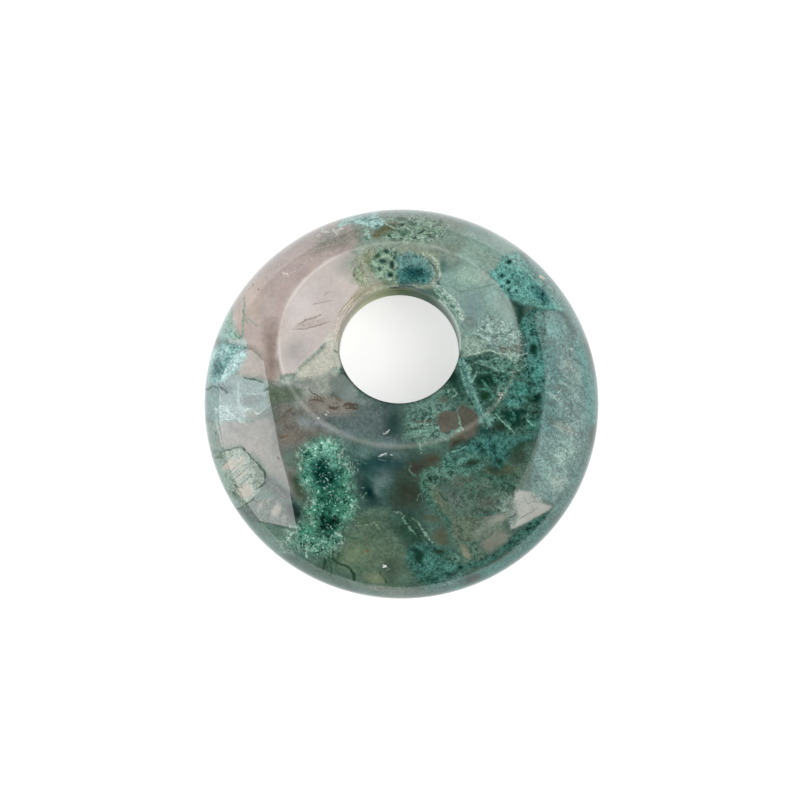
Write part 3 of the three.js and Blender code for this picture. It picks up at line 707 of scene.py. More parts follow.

# Cracks, flecks and rust, and on the upper left flank a few arcs of painted reflection: tone, half width,
# points. Each wanders a little.
threads = [
    # upper left flank
    ("#7d6a5c", 0.05, [(-6.85, 5.45), (-6.75, 5.35)]),
    ("#7d6a5c", 0.04, [(-6.55, 5.2), (-6.45, 5.1)]),
    ("#cfd9d2", 0.05, [(-3.75, 7.85), (-3.3, 7.75)]),
    ("#c9d6cf", 0.045, [(-3.65, 8.0), (-3.45, 7.7)]),
    ("#cfd9d2", 0.045, [(-3.2, 7.85), (-2.65, 7.95)]),
    ("#c9d6cf", 0.045, [(-3.15, 8.0), (-2.95, 7.65)]),
    ("#cdc6c4", 0.06, [(-3.95, 7.7), (-3.8, 7.55)]),
    ("#e3d6cc", 0.04, [(-5.45, 5.95), (-5.15, 5.88)]),
    # painted reflection: pale and darker arcs along the rim, where the polished flank's slight undulations
    # mirror the light
    ("#aaa39b", 0.04, [(-6.3, 5.9), (-5.2, 6.5), (-4.0, 6.95), (-3.0, 7.25)]),
    ("#b9b0a9", 0.05, [(-5.6, 5.4), (-4.6, 6.3), (-3.6, 6.75), (-2.8, 6.95)]),
    ("#9c988b", 0.05, [(-4.2, 6.75), (-3.4, 7.1), (-2.5, 7.4)]),
    # land
    ("#93857e", 0.035, [(-5.0, 3.35), (-4.4, 3.38), (-3.9, 3.5), (-3.2, 3.75)]),
    ("#9b8c84", 0.05, [(-4.75, 3.55), (-4.3, 3.8), (-3.9, 3.9), (-3.6, 4.05)]),
    ("#a89d97", 0.03, [(-4.1, 4.5), (-3.5, 4.6), (-3.1, 4.7)]),
    ("#a59b94", 0.03, [(-3.5, 4.9), (-3.3, 5.1)]),
    ("#94876f", 0.03, [(-3.0, 2.6), (-2.85, 3.3), (-2.5, 4.15), (-1.9, 5.0), (-1.3, 5.4),
        (-0.7, 5.55)]),
    ("#a39574", 0.03, [(-2.95, 3.9), (-2.3, 4.8), (-2.0, 5.1)]),
    ("#6f8c80", 0.045, [(2.2, 5.4), (2.6, 5.12), (3.2, 5.2), (3.8, 5.4), (4.3, 5.5)]),
    ("#2a3f33", 0.07, [(-2.2, 5.9), (-2.15, 5.8)]),
    # icy zone
    ("#a3b8b3", 0.03, [(-7.4, 1.0), (-7.38, 0.4), (-7.35, -0.3)]),
    ("#9db2ac", 0.03, [(-7.4, 0.42), (-6.7, 0.4), (-6.1, 0.42)]),
    ("#b0c7c2", 0.035, [(-8.5, -0.35), (-8.1, -0.1), (-7.85, -0.4), (-7.3, -0.85), (-6.9, -1.0)]),
    ("#b0c7c2", 0.03, [(-7.5, 0.0), (-7.1, -0.35), (-6.8, -0.25), (-6.5, -0.55), (-6.1, -0.2)]),
    ("#b0c7c2", 0.03, [(-8.3, -0.75), (-7.9, -0.75), (-7.4, -0.65), (-7.0, -0.9)]),
    ("#b0c7c2", 0.03, [(-8.45, -0.1), (-8.4, -0.8), (-8.2, -1.6), (-8.1, -2.1)]),
    ("#24504c", 0.1, [(-8.5, 1.75), (-8.25, 1.35)]),
    # rust
    ("#5f5140", 0.055, [(-4.15, 0.12), (-3.85, 0.18), (-3.55, 0.06)]),
    ("#5b4a3a", 0.03, [(-4.15, 0.75), (-4.18, 0.6), (-3.95, 0.42), (-3.7, 0.32), (-3.4, 0.02)]),
    ("#5f5140", 0.05, [(-3.15, 0.45), (-3.1, 0.36)]),
    ("#50453a", 0.07, [(-3.3, -0.1), (-3.15, -0.22), (-2.95, -0.2), (-2.8, -0.1)]),
    ("#6d5a40", 0.04, [(-3.0, 0.3), (-2.85, 0.2), (-2.75, 0.12)]),
    ("#50453a", 0.09, [(-2.65, -0.12), (-2.4, -0.02), (-2.2, -0.1), (-1.95, -0.02)]),
    ("#50453a", 0.06, [(-2.55, -0.2), (-2.2, -0.22), (-1.92, -0.25)]),
    ("#665646", 0.045, [(-5.3, -0.45), (-5.1, -0.38), (-4.85, -0.22)]),
    ("#62523f", 0.06, [(-5.5, -1.6), (-5.3, -1.52), (-5.1, -1.5)]),
    ("#62523f", 0.035, [(-5.85, -1.9), (-5.75, -1.9)]),
    ("#86706a", 0.06, [(-6.15, -0.6), (-6.05, -0.6)]),
    ("#6e5c40", 0.07, [(-1.6, -6.72), (-1.4, -6.7)]),
    ("#66563f", 0.04, [(0.1, -6.85), (0.2, -6.8)]),
    # white flecks
    ("#ece3cd", 0.09, [(6.2, 5.9), (6.5, 5.75)]),
    ("#ece3cd", 0.06, [(7.7, 2.55), (7.8, 2.55)]),
    ("#e4d9bd", 0.05, [(4.55, 0.6), (4.5, 0.4), (4.4, 0.2)]),
    ("#dfe4dc", 0.06, [(4.4, 0.45), (4.55, 0.3), (4.5, 0.2)]),
    ("#e6e4df", 0.04, [(-3.45, -0.48), (-3.35, -0.52)]),
    ("#e6e4df", 0.04, [(-3.8, -0.62), (-3.7, -0.68)]),
    ("#d7dfdc", 0.035, [(-0.8, -1.35), (-0.65, -1.33), (-0.5, -1.15)]),
    ("#d7dfdc", 0.035, [(-1.05, -2.4), (-0.65, -2.25)]),
    ("#d7dfdc", 0.035, [(-0.45, -2.3), (-0.35, -2.3)]),
    ("#e3e9e4", 0.1, [(-0.8, -7.45), (-0.65, -7.35)]),
    ("#c9cfc2", 0.03, [(-0.74, -6.98), (-0.7, -7.02)]),
    # dark lines of the lower left and of the slabs
    ("#55635c", 0.04, [(-6.1, -3.5), (-5.4, -4.1), (-4.8, -4.5)]),
    ("#1d3a28", 0.07, [(-3.3, -7.0), (-2.9, -7.15), (-2.45, -7.4), (-2.2, -7.6)]),
    ("#1b3726", 0.13, [(-2.25, -7.5), (-2.12, -7.8), (-2.15, -8.1)]),
    ("#1d3a28", 0.07, [(-3.35, -6.7), (-3.35, -7.05), (-3.45, -7.4), (-3.5, -7.65)]),
    ("#24402f", 0.04, [(-3.25, -7.1), (-3.1, -7.5), (-3.15, -7.9)]),
    ("#2b4433", 0.05, [(-0.95, -7.6), (-0.75, -7.9), (-0.6, -8.2)]),
    ("#858a7e", 0.07, [(-1.5, -8.35), (-0.7, -8.55)]),
    ("#1c332a", 0.06, [(4.5, -3.4), (5.0, -3.7), (5.3, -3.85)]),
    ("#1f3f38", 0.06, [(4.95, -5.1), (5.3, -4.95)]),
    ("#24423b", 0.05, [(6.1, -3.5), (6.2, -3.45)]),
    ("#2f5048", 0.05, [(1.75, -3.95), (1.95, -4.25), (2.2, -4.45)]),
    # cracks of the pale wedge
    ("#74857c", 0.025, [(5.55, -4.0), (5.7, -4.4), (6.1, -4.8)]),
    ("#74857c", 0.02, [(5.35, -4.4), (5.8, -4.5), (6.3, -4.4)]),
    ("#66796f", 0.03, [(5.35, -5.2), (5.8, -4.95), (6.3, -4.6)]),
    ("#7d8b80", 0.02, [(5.9, -4.15), (6.2, -4.3)]),
]

# Open cracks, dark and unpolished: tone, half width, points.
cracks = [
    ("#22402c", 0.045, [(-8.3, -2.35), (-8.0, -2.2), (-7.4, -2.0), (-7.25, -1.99), (-6.85, -2.4),
        (-6.45, -2.8), (-6.2, -3.2)]),
    ("#22402c", 0.07, [(-6.6, -2.65), (-6.3, -3.0), (-6.15, -3.3), (-6.17, -3.6), (-6.4, -3.8),
        (-6.55, -3.9)]),
    ("#3a4c30", 0.045, [(-6.55, -4.2), (-6.7, -4.4), (-7.05, -4.6), (-7.35, -4.95)]),
    ("#3d5233", 0.045, [(-7.6, -3.7), (-7.4, -3.85), (-7.2, -3.9)]),
    ("#3d5233", 0.04, [(-7.7, -4.05), (-7.45, -4.15), (-7.3, -4.4)]),
    ("#3d5233", 0.04, [(-8.45, -2.55), (-8.2, -2.45), (-8.05, -2.6)]),
    ("#3a4c30", 0.035, [(-6.75, -3.2), (-6.85, -3.35), (-6.7, -3.5)]),
    ("#3a4c30", 0.035, [(-6.45, -3.45), (-6.6, -3.6), (-6.75, -3.6)]),
    ("#2b4433", 0.05, [(-6.5, -5.35), (-6.2, -5.45), (-5.6, -5.57), (-4.9, -5.68)]),
    ("#1f3a34", 0.055, [(-8.25, 0.72), (-7.85, 0.42)]),
    ("#24403c", 0.045, [(-8.85, 0.55), (-8.6, 0.78), (-8.4, 0.7)]),
    ("#2a4a40", 0.05, [(-7.2, 1.17), (-6.9, 1.1), (-6.5, 1.03), (-6.25, 0.9)]),
    ("#24503f", 0.08, [(-6.25, 0.6), (-6.1, 0.55), (-5.98, 0.72)]),
    ("#2f4a40", 0.03, [(-8.4, -1.3), (-8.42, -1.5)]),
    ("#6b5a3c", 0.05, [(-5.75, -0.78), (-5.7, -0.88)]),
    ("#6b5a3c", 0.05, [(-5.5, -0.7), (-5.42, -0.78), (-5.3, -0.85)]),
    ("#6b5a3c", 0.04, [(-5.62, -2.4), (-5.52, -2.62)]),
]

# Strands of moss, granular: tone, half width, points.
strands = [
    # upper left flank, and the vein across the land
    ("#869f8e", 0.07, [(-7.2, 4.85), (-7.15, 4.2), (-7.2, 3.0)]),
    ("#5b7d6a", 0.1, [(-7.17, 4.3), (-7.18, 4.1)]),
    ("#83a08f", 0.045, [(-7.05, 3.95), (-6.5, 3.45)]),
    ("#7f9a80", 0.07, [(-7.7, 4.4), (-7.75, 3.3), (-7.3, 2.85)]),
    ("#9cb09f", 0.055, [(-3.1, 2.9), (-3.6, 2.6), (-4.0, 2.2), (-4.5, 1.75), (-4.9, 1.2), (-5.3, 1.0),
        (-5.9, 0.85)]),
    ("#5b7867", 0.12, [(-6.25, 0.6), (-6.0, 0.75)]),
    ("#6a8271", 0.05, [(-3.1, 2.45), (-2.9, 2.3)]),
    ("#a9c6b8", 0.09, [(-2.95, 1.65), (-2.85, 1.45)]),
    ("#93a594", 0.035, [(-4.9, 1.2), (-4.4, 1.1), (-3.9, 1.3)]),
    # growths above the bore
    ("#a3c4b6", 0.12, [(-1.65, 8.1), (-1.62, 7.7), (-1.5, 7.4)]),
    ("#4f8f78", 0.09, [(-1.7, 7.5), (-1.5, 7.42)]),
    ("#95aa97", 0.055, [(-1.3, 6.2), (-1.3, 6.7), (-1.0, 7.08), (-0.6, 7.1), (-0.35, 6.9), (-0.5, 6.65),
        (-0.95, 6.65), (-1.25, 6.55)]),
    ("#95aa97", 0.055, [(-1.3, 6.3), (-1.1, 6.0), (-0.85, 5.75), (-0.65, 5.65), (-0.3, 5.65)]),
    ("#90a793", 0.045, [(-1.15, 6.35), (-0.7, 6.25), (-0.6, 6.05), (-0.3, 6.1), (-0.2, 6.5)]),
    ("#b3c6b4", 0.07, [(0.9, 6.95), (1.3, 6.75), (1.55, 6.5), (1.7, 6.2), (1.72, 5.9), (1.62, 5.6)]),
    ("#8fae9f", 0.06, [(0.3, 6.95), (0.8, 6.75), (1.15, 6.5), (1.4, 6.1), (1.45, 5.75)]),
    ("#35544c", 0.045, [(1.1, 6.6), (1.45, 6.3), (1.57, 5.9)]),
    ("#a5c0ae", 0.05, [(-0.9, 8.3), (-0.4, 8.0), (0.1, 8.1), (0.5, 7.8), (1.1, 8.0), (1.6, 8.3)]),
    ("#a5c0ae", 0.05, [(-0.5, 7.6), (0.0, 7.55), (0.5, 7.5), (1.0, 7.6), (1.4, 7.9)]),
    ("#a9c6bb", 0.05, [(0.9, 7.3), (1.3, 7.5), (1.8, 7.7), (2.2, 8.2)]),
    ("#9fbfae", 0.05, [(0.1, 8.5), (0.6, 8.3), (0.9, 8.5), (1.5, 8.55)]),
    ("#c0d2c8", 0.035, [(1.25, 5.6), (1.7, 5.4), (2.15, 4.98), (2.6, 4.5), (2.85, 4.1)]),
    ("#5f8f7d", 0.04, [(1.3, 5.35), (1.75, 5.0), (2.2, 4.6), (2.6, 4.0)]),
    ("#3f4f50", 0.06, [(-0.6, 5.25), (-0.1, 5.33), (0.4, 5.3), (0.9, 5.17), (1.35, 4.95)]),
    # web
    ("#a9c5bb", 0.06, [(4.1, 4.0), (4.19, 3.63), (4.39, 3.46), (4.89, 3.42), (5.47, 3.3)]),
    ("#a9c5bb", 0.055, [(3.73, 3.3), (4.14, 3.21), (4.56, 3.3), (5.14, 3.13), (5.55, 3.05)]),
    ("#a5c1b8", 0.055, [(3.9, 2.88), (4.4, 3.05), (4.9, 2.97), (5.3, 2.72), (5.72, 2.76)]),
    ("#a3c0b2", 0.065, [(4.3, 2.8), (4.8, 2.63), (4.97, 2.38), (5.3, 2.22), (5.55, 2.3), (5.72, 2.38)]),
    ("#a9c2b0", 0.055, [(2.9, 2.22), (3.4, 2.3), (3.9, 2.47), (4.4, 2.3), (4.8, 2.3), (5.14, 1.89)]),
    ("#a3c0b2", 0.045, [(4.75, 2.65), (4.95, 2.45), (5.2, 2.1), (5.25, 1.95)]),
    ("#a9c3bc", 0.05, [(3.5, 3.9), (3.9, 3.6), (4.3, 3.75), (4.7, 3.6), (5.1, 3.7)]),
    ("#a5c1b8", 0.05, [(3.4, 3.4), (3.7, 3.0), (4.2, 2.95)]),
    ("#7fa695", 0.05, [(3.23, 1.89), (3.73, 1.8), (4.23, 1.64), (4.72, 1.47), (5.22, 1.51),
        (5.72, 1.89)]),
    ("#7aa292", 0.04, [(3.35, 2.05), (3.9, 1.95), (4.3, 2.1), (4.9, 1.95)]),
    ("#9db8a8", 0.05, [(2.75, 3.05), (3.3, 3.05), (3.7, 3.25)]),
    ("#7ea598", 0.04, [(2.6, 2.0), (2.74, 1.55), (2.86, 1.06), (3.06, 0.5), (3.26, 0.0), (3.55, -0.5)]),
    ("#7ea598", 0.04, [(2.78, 2.05), (3.02, 1.55), (3.14, 1.06), (3.34, 0.5), (3.54, 0.0), (3.8, -0.5),
        (4.05, -0.8)]),
    ("#4c7c70", 0.05, [(2.85, 1.4), (3.0, 0.9), (3.2, 0.35), (3.45, -0.25), (3.8, -0.65)]),
    ("#8cb3a3", 0.06, [(3.2, 1.0), (3.3, 1.25), (3.45, 1.5)]),
    ("#7fa898", 0.05, [(3.1, 1.85), (3.17, 1.45)]),
    ("#5f9484", 0.05, [(4.05, 1.4), (4.35, 1.15), (4.47, 0.9), (4.7, 1.05)]),
    ("#5f9484", 0.04, [(4.5, 1.25), (4.65, 1.3), (4.7, 1.15), (4.55, 1.08), (4.45, 1.18)]),
    ("#5a9082", 0.05, [(4.95, 1.15), (5.15, 0.75), (5.1, 0.4)]),
    ("#4f8375", 0.05, [(3.5, 1.4), (3.9, 1.5), (4.3, 1.3)]),
    ("#4f8375", 0.05, [(3.5, 0.7), (3.9, 0.75), (4.2, 0.5), (4.0, 0.1)]),
    ("#7da392", 0.06, [(2.1, 0.5), (2.2, 0.7), (2.45, 0.7), (2.5, 0.45), (2.3, 0.3)]),
    ("#7fa596", 0.05, [(0.8, -1.2), (1.4, -1.15)]),
    ("#7fa596", 0.05, [(0.7, -1.5), (1.1, -1.35)]),
    ("#7fa596", 0.05, [(0.9, -1.7), (0.85, -2.0), (1.0, -2.3)]),
    ("#8fb09e", 0.06, [(2.6, -0.4), (2.7, -0.7), (2.65, -0.95), (2.75, -1.1), (2.5, -1.25),
        (2.2, -1.15)]),
    ("#7fae9b", 0.05, [(4.3, -0.4), (4.6, -0.75), (4.85, -1.0), (5.15, -1.3)]),
    ("#6fa08f", 0.05, [(5.75, -0.35), (5.7, -0.7), (5.95, -0.95), (6.25, -0.9)]),
    ("#6fa08f", 0.04, [(4.45, -0.35), (4.1, -0.75), (3.9, -1.1)]),
    # edges of the moss sheet at the lower right
    ("#6a9a88", 0.06, [(2.0, -2.3), (3.0, -1.9)]),
    ("#6a9a88", 0.05, [(2.8, -3.0), (3.1, -3.3)]),
    ("#6a9a88", 0.05, [(3.2, -2.95), (3.6, -2.75)]),
    ("#5b8371", 0.045, [(0.5, -2.8), (0.35, -3.0), (0.5, -3.2), (0.8, -3.25)]),
    ("#4d7766", 0.08, [(2.0, -2.95), (1.4, -2.9), (1.1, -3.05), (0.92, -3.3), (1.0, -3.8), (1.25, -4.4),
        (1.6, -4.9), (2.0, -5.1), (2.15, -5.5), (2.2, -5.9), (2.4, -6.1), (2.7, -6.4)]),
    ("#45695b", 0.08, [(1.1, -3.3), (1.15, -3.8), (1.4, -4.4), (1.75, -4.85)]),
    ("#3f695c", 0.1, [(2.0, -5.05), (2.25, -5.4), (2.2, -5.7)]),
    ("#4d776a", 0.06, [(3.3, -5.1), (3.9, -5.0), (4.4, -4.9)]),
    ("#4d776a", 0.05, [(3.3, -3.3), (3.9, -3.2), (4.4, -3.4), (4.8, -3.6)]),
    ("#527868", 0.05, [(2.7, -6.3), (3.1, -6.35), (3.5, -6.3), (4.0, -6.0), (4.3, -5.7)]),
    ("#4f7d68", 0.06, [(2.6, -6.5), (2.7, -6.9), (3.1, -7.1)]),
    ("#5b8371", 0.04, [(1.0, -4.0), (0.8, -4.2), (0.75, -4.45), (0.6, -4.4)]),
    ("#6d8677", 0.07, [(-0.32, -4.87), (0.0, -4.93), (0.2, -5.07)]),
    ("#6b8d7b", 0.06, [(0.1, -5.15), (0.35, -5.5), (0.6, -5.85), (0.75, -5.95)]),
    ("#83a08e", 0.06, [(0.8, -5.35), (1.1, -5.85), (1.5, -6.35)]),
    ("#64806b", 0.035, [(0.5, -5.15), (0.8, -5.35)]),
    ("#73836f", 0.05, [(-2.1, -5.55), (-1.5, -5.5), (-1.2, -5.42), (-0.95, -5.7)]),
    ("#4c6f5a", 0.06, [(-2.6, -6.0), (-2.1, -6.1), (-1.7, -6.05)]),
    ("#58806f", 0.045, [(-2.5, -2.5), (-2.0, -2.6), (-1.5, -2.7)]),
    ("#6d8f81", 0.04, [(-1.55, -4.0), (-1.7, -4.3), (-1.95, -4.45)]),
    ("#6d8f81", 0.04, [(-1.75, -3.8), (-1.6, -3.82)]),
    # right flank
    ("#a3c0b8", 0.05, [(6.6, 0.6), (6.9, 0.45), (7.2, 0.3), (7.42, -0.05)]),
    ("#a3c0b8", 0.05, [(6.75, 0.4), (7.0, 0.25), (7.3, 0.02), (7.42, -0.05)]),
    ("#a3c0b8", 0.04, [(7.1, 0.55), (7.3, 0.75)]),
    ("#a3c0b8", 0.04, [(7.0, 0.9), (7.3, 1.02), (7.5, 0.9)]),
    ("#9fbcb6", 0.05, [(7.0, 5.2), (7.5, 4.6)]),
    ("#9fbcb6", 0.05, [(7.4, 5.0), (7.9, 4.2)]),
    ("#9fbcb6", 0.05, [(6.6, 5.5), (7.0, 5.0)]),
    # stripes of the slab
    ("#6b8272", 0.045, [(-8.2, -2.9), (-7.9, -2.65), (-7.55, -2.25)]),
    ("#6b8272", 0.045, [(-7.95, -3.35), (-7.5, -2.95), (-7.15, -2.55)]),
    ("#5d7565", 0.06, [(-7.7, -3.6), (-7.2, -3.2), (-6.9, -2.9)]),
    ("#5d7565", 0.06, [(-7.35, -3.75), (-7.0, -3.45), (-6.8, -3.2)]),
    ("#556b5a", 0.07, [(-7.9, -4.0), (-7.5, -4.3), (-7.2, -4.55)]),
]


def unlit(seen):
    # the stone's own colour under the lamps: what is seen less the polish's veil, over the lamps' gain
    return np.maximum(seen - pattern["veil"], 0.001) / pattern["lampGain"]


def paintZones(spots, zones):
    # each zone is laid over the ones before it: its tone and filling replace theirs by its cover, which
    # goes from 0 to 1 across its edge, and the edge is pushed in and out by noise
    sheet = np.tile(np.array([*linear(pattern["ground"]), *fillings["haze"]]), (len(spots), 1))
    for tone, filling, shape, soft, rough in zones:
        oval = not isinstance(shape[0], tuple)
        corners = np.array([shape[:2]]) if oval else np.array(shape)
        reach = soft + rough + (max(shape[2:4]) if oval else 0)
        low, high = corners.min(0) - reach, corners.max(0) + reach
        near = np.flatnonzero(((spots > low) & (spots < high)).all(1))
        inside = (ovalDistance if oval else insideDistance)(spots[near], shape)
        edge = bristling if filling == "crystals" else ragged
        cover = eased(-soft, soft, inside + rough * edge[near])[:, None]
        sheet[near] += (np.array([*linear(tone), *fillings[filling]]) - sheet[near]) * cover
    return unlit(sheet[:, :3]), sheet[:, 3:]


def bristles(outline, count, length, tones, seed):
    # short curved rods standing out from a line: each starts just inside it, turns a little from square
    # to it, and bends at its middle
    random = np.random.default_rng(seed)
    start = np.array(outline, float)
    edge = np.diff(start, axis=0)
    travelled = np.concatenate([[0], np.cumsum(np.linalg.norm(edge, axis=1))])
    for way in (np.arange(count) + random.uniform(0.1, 0.9, count)) / count * travelled[-1]:
        k = min(np.searchsorted(travelled, way, side="right") - 1, len(edge) - 1)
        foot = start[k] + edge[k] * (way - travelled[k]) / (travelled[k + 1] - travelled[k])
        heading = math.atan2(edge[k][1], edge[k][0]) + math.pi / 2 + random.uniform(-0.8, 0.8)
        bend, reach = random.uniform(-0.7, 0.7), length * random.uniform(0.5, 1.3)
        first = foot + reach * 0.5 * np.array([math.cos(heading), math.sin(heading)])
        tip = first + reach * 0.5 * np.array([math.cos(heading + bend), math.sin(heading + bend)])
        back = foot - 0.18 * np.array([math.cos(heading), math.sin(heading)])
        course = [tuple(back), tuple(first), tuple(tip)]
        yield tones[random.integers(len(tones))], random.uniform(0.028, 0.045), course


def strokes(count, oval, heading, tones, seed):
    # short bent strokes scattered over an oval, all heading about the same way (degrees from the right)
    random = np.random.default_rng(seed)
    x, y, wide, deep = oval
    for _ in range(count):
        angle, away = random.uniform(0, 2 * math.pi), math.sqrt(random.uniform(0, 1))
        middlePoint = np.array([x + wide * away * math.cos(angle), y + deep * away * math.sin(angle)])
        turn = math.radians(heading + random.uniform(-28, 28))
        along = random.uniform(0.12, 0.34) * np.array([math.cos(turn), math.sin(turn)])
        aside = random.uniform(-0.25, 0.25) * np.array([-along[1], along[0]])
        course = [tuple(middlePoint - along), tuple(middlePoint + aside), tuple(middlePoint + along)]
        yield tones[random.integers(len(tones))], random.uniform(0.03, 0.055), course


# The plume's fringe, and loose moss: how many, where, which way, tones, seed.
strands += bristles(plume + plume[:1], 130, 0.34, [
    "#5f8f7b", "#7ba392", "#44705f", "#a3c0b3", "#3f6a58", "#72907f"], 77)
strands += strokes(34, (-1.75, 6.15, 0.55, 0.75), 70, [
    "#a7b296", "#8a9576", "#b5bba2", "#93a58c", "#7d8a68"], 93)
strands += strokes(26, (1.05, -1.0, 0.7, 0.75), 20, ["#7fa596", "#6c9485", "#8fb0a2", "#476a5e"], 95)
strands += strokes(24, (-4.9, -6.5, 0.9, 0.3), 10, ["#7a9688", "#628273", "#8fa99c"], 97)
strands += strokes(18, (4.0, -3.6, 1.3, 0.5), -25, ["#44705f", "#57816f", "#335a4c"], 99)
strands += strokes(30, (4.9, 0.5, 1.3, 1.5), -50, ["#40705f", "#4f8375", "#356256"], 101)
strands += strokes(16, (4.5, 3.3, 0.75, 0.7), 8, ["#a9c3bc", "#9fbbb0", "#6f8a84", "#b3c9c3"], 103)
strands += strokes(70, (7.55, 0.0, 0.8, 3.8), -52, ["#7fa39c", "#8fb3ad", "#55807a", "#4c766f"], 91)


def threadField(spots):
    # for every point, the nearest line: signed distance, half width there (it tapers to both ends), its
    # kind (0 thread, 1 strand, 2 crack), and its colour
    reach = pattern["lineReach"]
    closest = np.full(len(spots), reach)
    field = np.column_stack([closest, np.zeros((len(spots), 2))])
    colour = np.zeros((len(spots), 3))
    lines = [(*line, kind) for kind, group in enumerate((threads, strands, cracks)) for line in group]
    for number, (tone, halfWidth, course, kind) in enumerate(lines):
        line = wanderingLine(course, pattern["lineWander"], 200 + 7 * number)
        low, high = line.min(0) - reach, line.max(0) + reach
        near = np.flatnonzero(((spots > low) & (spots < high)).all(1))
        if not len(near):
            continue
        gap, way, side = distanceToLine(spots[near], line)
        total = np.linalg.norm(np.diff(line, axis=0), axis=1).sum()
        taper = np.clip(4 * (way / total) * (1 - way / total), 0, 1) ** 0.35
        better = gap < closest[near]
        where = near[better]
        closest[where] = gap[better]
        field[where, 0] = (gap * side)[better]
        field[where, 1] = halfWidth * taper[better]
        field[where, 2] = kind
        colour[where] = linear(tone)
    return field, unlit(colour)


def wallColourAndLight(points):
    # the bore's wall takes its tone, painted light included, from the direction in which it lies, blended
    # between two entries
    x, y = stone["bore"][:2]
    turn = np.degrees(np.arctan2(points[:, 1] - y, points[:, 0] - x)) % 360
    angles, tones = zip(*wall)
    tones = np.array([linear(tone) for tone in tones])
    return np.stack([np.interp(turn, angles, tones[:, k], period=360) for k in range(3)], axis=1)


def ellipseDistance(spots, oval):
    # about the distance outside an ellipse given by its middle and its full width and depth: the share
    # of the way out from its middle, less one, over that share's slope
    x, y, width, depth = oval
    dx, dy = spots[:, 0] - x, spots[:, 1] - y
    share = np.hypot(2 * dx / width, 2 * dy / depth)
    slope = np.hypot(4 * dx / width ** 2, 4 * dy / depth ** 2) / np.maximum(share, 1e-6)
    return (share - 1) / np.maximum(slope, 1e-6)


def setVector(mesh, name, values):
    attribute = mesh.attributes.new(name, "FLOAT_VECTOR", "POINT")
    attribute.data.foreach_set("vector", values.astype(np.float32).ravel())


def setColour(mesh, name, colour):
    rgba = np.column_stack([colour, np.ones(len(colour))]).astype(np.float32)
    attribute = mesh.attributes.new(name, "FLOAT_COLOR", "POINT")
    attribute.data.foreach_set("color", rgba.ravel())


stirring = np.stack([cloudNoise(points, pattern["edgeGrain"], seed) for seed in (61, 71)], axis=1)
tone, filling = paintZones(spots + pattern["edgeStir"] * stirring, clouds)
tone[inBore] = wallColourAndLight(points[inBore])
filling[inBore] = 0
setColour(stoneMesh, "tone", tone)
setVector(stoneMesh, "filling", filling)
threadPlace, threadTone = threadField(spots)
setVector(stoneMesh, "threadPlace", threadPlace)
setColour(stoneMesh, "threadTone", threadTone)

# how far each point is outside the land and outside the bore, and inside the outline
edges = [ellipseDistance(points[:, :2], stone[name]) for name in ("land", "bore")]
edges.append(-ellipseDistance(points[:, :2], (0, 0, stone["width"], stone["depth"])))
setVector(stoneMesh, "edges", np.column_stack(edges))
print("stage 3: clouds, moss and threads")


# Materials

def addNode(tree, kind, inputs=None, **settings):
    # adds one node, sets it up, and gives each input a value, a node's first output or a named output
    node = tree.nodes.new("ShaderNode" + kind)
    for name, value in settings.items():
        setattr(node, name, value)
    for key, value in (inputs or {}).items():
        if isinstance(value, bpy.types.Node):
            value = value.outputs[0]
        if isinstance(value, bpy.types.NodeSocket):
            tree.links.new(value, node.inputs[key])
        else:
            node.inputs[key].default_value = value
    return node


def newMaterial(name):
    material = bpy.data.materials.new(name)
    material.use_nodes = True
    material.node_tree.nodes.clear()
    return material, material.node_tree


# Moss agate: cloudy chalcedony of quartz fibres with green mineral growths in it. The faces are lapped
# to a glassy polish, and the bore is left as the drill ground it: matt, with fine rings.
agate = {
    # sizes in mm
    "lump": 0.26,                            # across a lump of grainy moss
    "grain": 0.10,                           # across one of its frosted grains
    "mesh": 0.5,                             # across a mesh of the netted moss
    "crystal": 0.135,                        # between the pale points of the plume
    "swayReach": 0.6, "shakeReach": 0.16,    # how far the growths and the crystals are pushed about
    # how many of a noise's largest features come to a millimetre
    "sway": 1.7, "shake": 5.0, "rough": 2.7, "dust": 6.0, "hatch": 4.6, "specks": 12.0, "winding": 1.6,
    "frost": 9.0, "wisps": 1.3, "drift": 0.9, "fray": 3.5, "lapping": 0.8, "rings": 2.2,
    "hatchAngle": 52,                        # degrees that the grain of dusty moss slants, and how
    "hatchLength": 0.32,                     # its noise is squeezed along it, which draws it out
    # tints that a place's tone is multiplied by, and what is added to the palest
    "gaps": (0.13, 0.20, 0.19),
    "tops": (1.50, 1.48, 1.48), "topsFrost": (0.014, 0.018, 0.018),
    "crystalDark": (0.04, 0.22, 0.19), "crystalMiddling": (1.25, 1.50, 1.40),
    "crystalPale": (3.0, 2.2, 2.3), "crystalWhite": (0.17, 0.24, 0.22),
    "driftRange": (0.26, 0.16, 0.24), "driftLow": (0.87, 0.92, 0.88),
    # the girdle tint is painted shade, and the tint after it colours the painted highlight on the land's
    # edge
    "girdle": (0.20, 0.58, 0.56), "edgeHighlightTint": (1.04, 1.02, 0.92),
    # strengths
    "mottle": 0.26,                          # of the light and dark in the clouds
    "sugar": 0.10,                           # and in their fine grain
    "threadCover": 0.85,                     # how much of a thread's own colour shows
    "edgeHighlight": 0.065,                       # painted highlight: how much paler the land's edge is drawn, where the polish rounds it
    "rimHighlight": 1.25, "rimShade": 0.58,       # painted highlight on the bore's rim against the land at its far side, painted shade at its near side
    "crackGloss": 0.2,                       # how much polish an open crack keeps
    # finish
    "ior": 1.54,
    "polishRoughness": 0.02, "stoneRoughness": 0.5, "drilledRoughness": 0.75,
}


